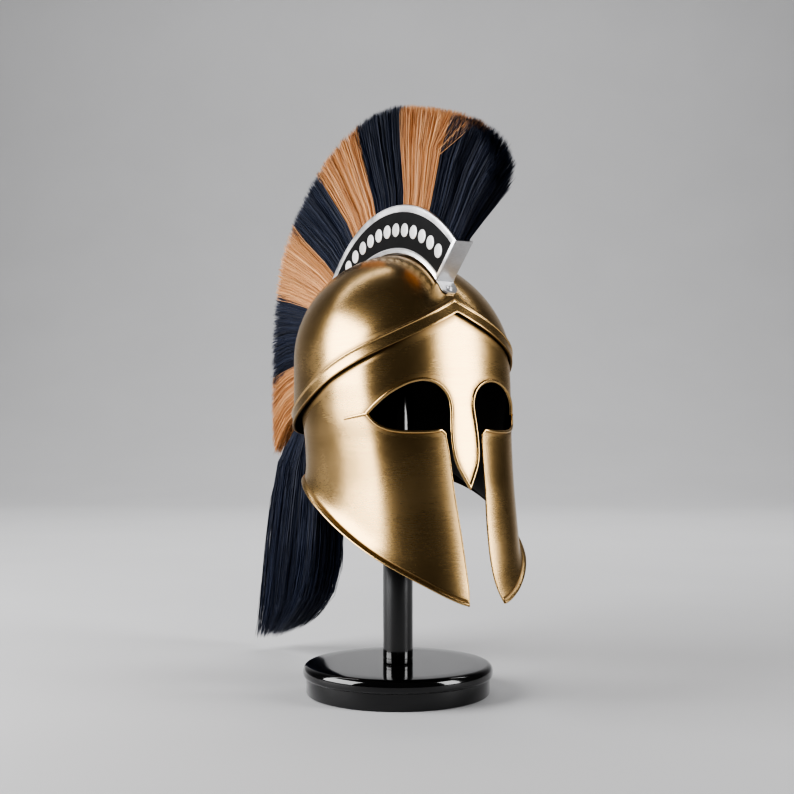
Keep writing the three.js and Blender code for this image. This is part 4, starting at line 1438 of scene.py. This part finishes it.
@dataclass
class DisplayStand:
    """The turned black stand: its foot, its post and the cap that carries the helmet."""

    finish: bpy.types.Material
    turns: int = 144
    post_radius: float = 14
    post_top: float = 380
    foot: Stations = (
        (0, 0), (84.2, 0), (85.3, 0.4), (86, 1.4), (86, 14.6), (86.1, 15.3), (86.6, 15.7), (87.6, 16.1),
        (88.5, 17.4), (89, 19.2), (89.05, 21.2), (88.8, 23.3), (88.0, 25.3), (86.7, 26.8), (85.0, 27.7),
        (83.2, 28), (70, 28.02), (40, 28.03), (15.2, 28.03), (0, 28.03))
    cap: Stations = (
        (0, 0), (42.6, 0), (44.2, 0.6), (45, 2), (45, 12), (44.2, 13.2), (38, 17), (30, 20), (22, 22.6),
        (15, 24.4), (7, 25.5), (0, 25.8))

    def turned(self, name: str, profile: Stations, base: float) -> bpy.types.Object:
        """Turn a profile round the stand's axis.

        Args:
            name: the piece's name.
            profile: the (radius, height) of its corners, from the axis and back to it.
            base: the height that its foot stands at.

        Returns:
            The closed piece.
        """
        theta = np.linspace(0, 2 * math.pi, self.turns + 1)
        rows = [np.stack([radius * np.cos(theta), radius * np.sin(theta),
                          np.full_like(theta, base + height)], axis=1) for radius, height in profile]
        return loft(name, np.array(rows), 35)

    def post(self) -> bpy.types.Object:
        """Model the post from a cylinder, with eased ends and a fine turned line near its foot."""
        length = (self.post_top - 28.3) * MM
        deselect()
        bpy.ops.mesh.primitive_cylinder_add(
            vertices=self.turns, radius=self.post_radius * MM, depth=length,
            location=(0, 0, 0.0283 + length / 2))
        piece = bpy.context.object
        bpy.ops.object.transform_apply(location=True, rotation=True, scale=True)
        bpy.ops.object.mode_set(mode="EDIT")
        for level in (0.0325, 0.0328, 0.0331, 0.0334):
            bpy.ops.mesh.select_all(action="SELECT")
            bpy.ops.mesh.bisect(plane_co=(0, 0, level), plane_no=(0, 0, 1))
        bpy.ops.object.mode_set(mode="OBJECT")
        points = read_points(piece)
        fine = (np.abs(points[:, 2] - 0.0328) < 1e-5) | (np.abs(points[:, 2] - 0.0331) < 1e-5)
        points[fine, :2] *= 0.982
        write_points(piece, points)
        apply_modifier(piece, "BEVEL", width=0.0006, segments=3, limit_method="ANGLE",
                       angle_limit=math.radians(60))
        shade(piece, 35)
        piece.name = piece.data.name = "stand_round_post"
        return piece

    def build(self) -> None:
        """Turn the stand's pieces and dress them."""
        finish_piece(self.turned("stand_round_foot", self.foot, 0), self.finish,
                     ["stand_base"])
        finish_piece(self.post(), self.finish, ["stand_post"])
        finish_piece(self.turned("stand_cap", self.cap, self.post_top + 0.3), self.finish,
                     ["stand_head"])


# ---------------------------------------------------------------- studio

@dataclass(frozen=True)
class Softbox:
    """One soft light of the studio, turned towards a point."""

    name: str
    turn: float               # degrees to the right of the camera, seen from the helmet
    distance: float
    height: float
    width: float
    tall: float
    power: float
    aim: float = 0.28
    outwards: bool = False    # turned away from the helmet, to wash the wall

    def build(self) -> None:
        """Add the light."""
        direction = math.radians(-CAMERA_TURN + self.turn)
        spot = (math.sin(direction) * self.distance, -math.cos(direction) * self.distance, self.height)
        data = bpy.data.lights.new(self.name, "AREA")
        data.shape = "RECTANGLE"
        data.size, data.size_y = self.width, self.tall
        data.energy = self.power
        light = bpy.data.objects.new(self.name, data)
        bpy.context.collection.objects.link(light)
        light.location = spot
        drop = math.atan2(self.height - self.aim, self.distance)
        light.rotation_euler = (math.pi / 2 - drop, 0, direction + math.pi * self.outwards)


@dataclass
class Studio:
    """The pale floor, its soft lights and the camera."""

    floor: bpy.types.Material
    lights: tuple[Softbox, ...] = (
        Softbox("softbox_left", -76, 1.5, 0.78, 1.35, 1.25, 40),
        Softbox("softbox_right", 66, 1.5, 0.66, 0.60, 1.1, 17),
        Softbox("wall_wash", 180, 1.2, 2.6, 5.0, 1.2, 120, aim=1.74, outwards=True),
    )
    ambient: float = 0.08
    focal_pixels: float = 1270
    picture: float = 794
    horizon_drop: float = 33
    reach: float = 9000       # how far the floor runs each way, in millimetres
    wall_start: float = 3000
    wall_sweep: float = 2500
    floor_drop: float = 0.2

    def camera(self) -> None:
        """Add the camera, level and turned from the helmet's front."""
        data = bpy.data.cameras.new("view_camera")
        data.sensor_width = 36
        data.lens = 36 * self.focal_pixels / self.picture
        data.shift_y = self.horizon_drop / self.picture
        data.shift_x = -1 / self.picture
        data.clip_start, data.clip_end = 0.05, 60
        camera = bpy.data.objects.new("view_camera", data)
        bpy.context.collection.objects.link(camera)
        turn = math.radians(CAMERA_TURN)
        camera.location = (-CAMERA_DISTANCE * math.sin(turn), -CAMERA_DISTANCE * math.cos(turn),
                           CAMERA_HEIGHT)
        camera.rotation_euler = (math.pi / 2, 0, -turn)
        bpy.context.scene.camera = camera

    def backdrop(self) -> None:
        """Model the pale floor, which sweeps up in a wall far behind."""
        across = np.linspace(-self.reach, self.reach, 25)
        start, sweep = self.wall_start, self.wall_sweep
        profile = [(-self.reach, 0), (start, 0)]
        profile += [(start + sweep * math.sin(t), sweep - sweep * math.cos(t))
                    for t in np.linspace(0, 1.5, 16)[1:]]
        profile += [(profile[-1][0], self.reach)]
        turn = math.radians(CAMERA_TURN)
        away = np.array([math.sin(turn), math.cos(turn)])
        side = np.array([math.cos(turn), -math.sin(turn)])
        rows = []
        for depth, height in profile:
            spot = across[:, None] * side + depth * away
            rows.append(np.concatenate([spot, np.full((len(across), 1), height - self.floor_drop)],
                                       axis=1))
        floor = sheet("studio_floor", np.array(rows))
        shade(floor, 60)
        floor.data.materials.append(self.floor)

    def build(self) -> None:
        """Set up the studio."""
        world = bpy.data.worlds.new("studio_air")
        world.use_nodes = True
        world.node_tree.nodes["Background"].inputs["Color"].default_value = (0.80, 0.78, 0.75, 1)
        world.node_tree.nodes["Background"].inputs["Strength"].default_value = self.ambient
        bpy.context.scene.world = world
        bpy.context.scene.view_settings.view_transform = "AgX"
        bpy.context.scene.view_settings.look = "AgX - High Contrast"
        self.backdrop()
        for light in self.lights:
            light.build()
        self.camera()


# ---------------------------------------------------------------- the whole object

def main() -> None:
    """Build every sub-assembly in order and report each piece."""
    logging.basicConfig(level=logging.INFO, format="%(message)s")
    shell = ShellForm()
    opening = FaceOpening()
    crest = CrestForm(shell)
    brass = AntiqueBrass().build()
    silver = SatinSilver().build()
    navy = BrushHair("navy_brush_hair", root=(0.002, 0.003, 0.006), deep=(0.004, 0.007, 0.016),
                     middle=(0.006, 0.011, 0.034), pale=(0.012, 0.022, 0.062), gloss=0.48)
    ginger = BrushHair("ginger_brush_hair", root=(0.12, 0.050, 0.020), deep=(0.32, 0.14, 0.055),
                       middle=(0.56, 0.28, 0.12), pale=(0.74, 0.44, 0.22))
    Studio(PalePlaster().build()).build()
    SkullDome(shell, brass).build()
    FaceMask(shell, opening, brass).build()
    LeatherLiner(shell, DarkLeather().build()).build()
    pewter = SatinSilver("dull_pewter_plate", light=(0.60, 0.60, 0.61), dull=(0.42, 0.42, 0.43))
    pearl = SatinSilver("pearl_stud", light=(0.80, 0.80, 0.80), dull=(0.66, 0.66, 0.67), metallic=0.35)
    CrestFrame(crest, silver, pewter.build(), pearl.build(), MattBlack().build()).build()
    Plume(crest, navy.build(), ginger.build()).build()
    DisplayStand(BlackLacquer().build()).build()


if __name__ == "__main__":
    main()
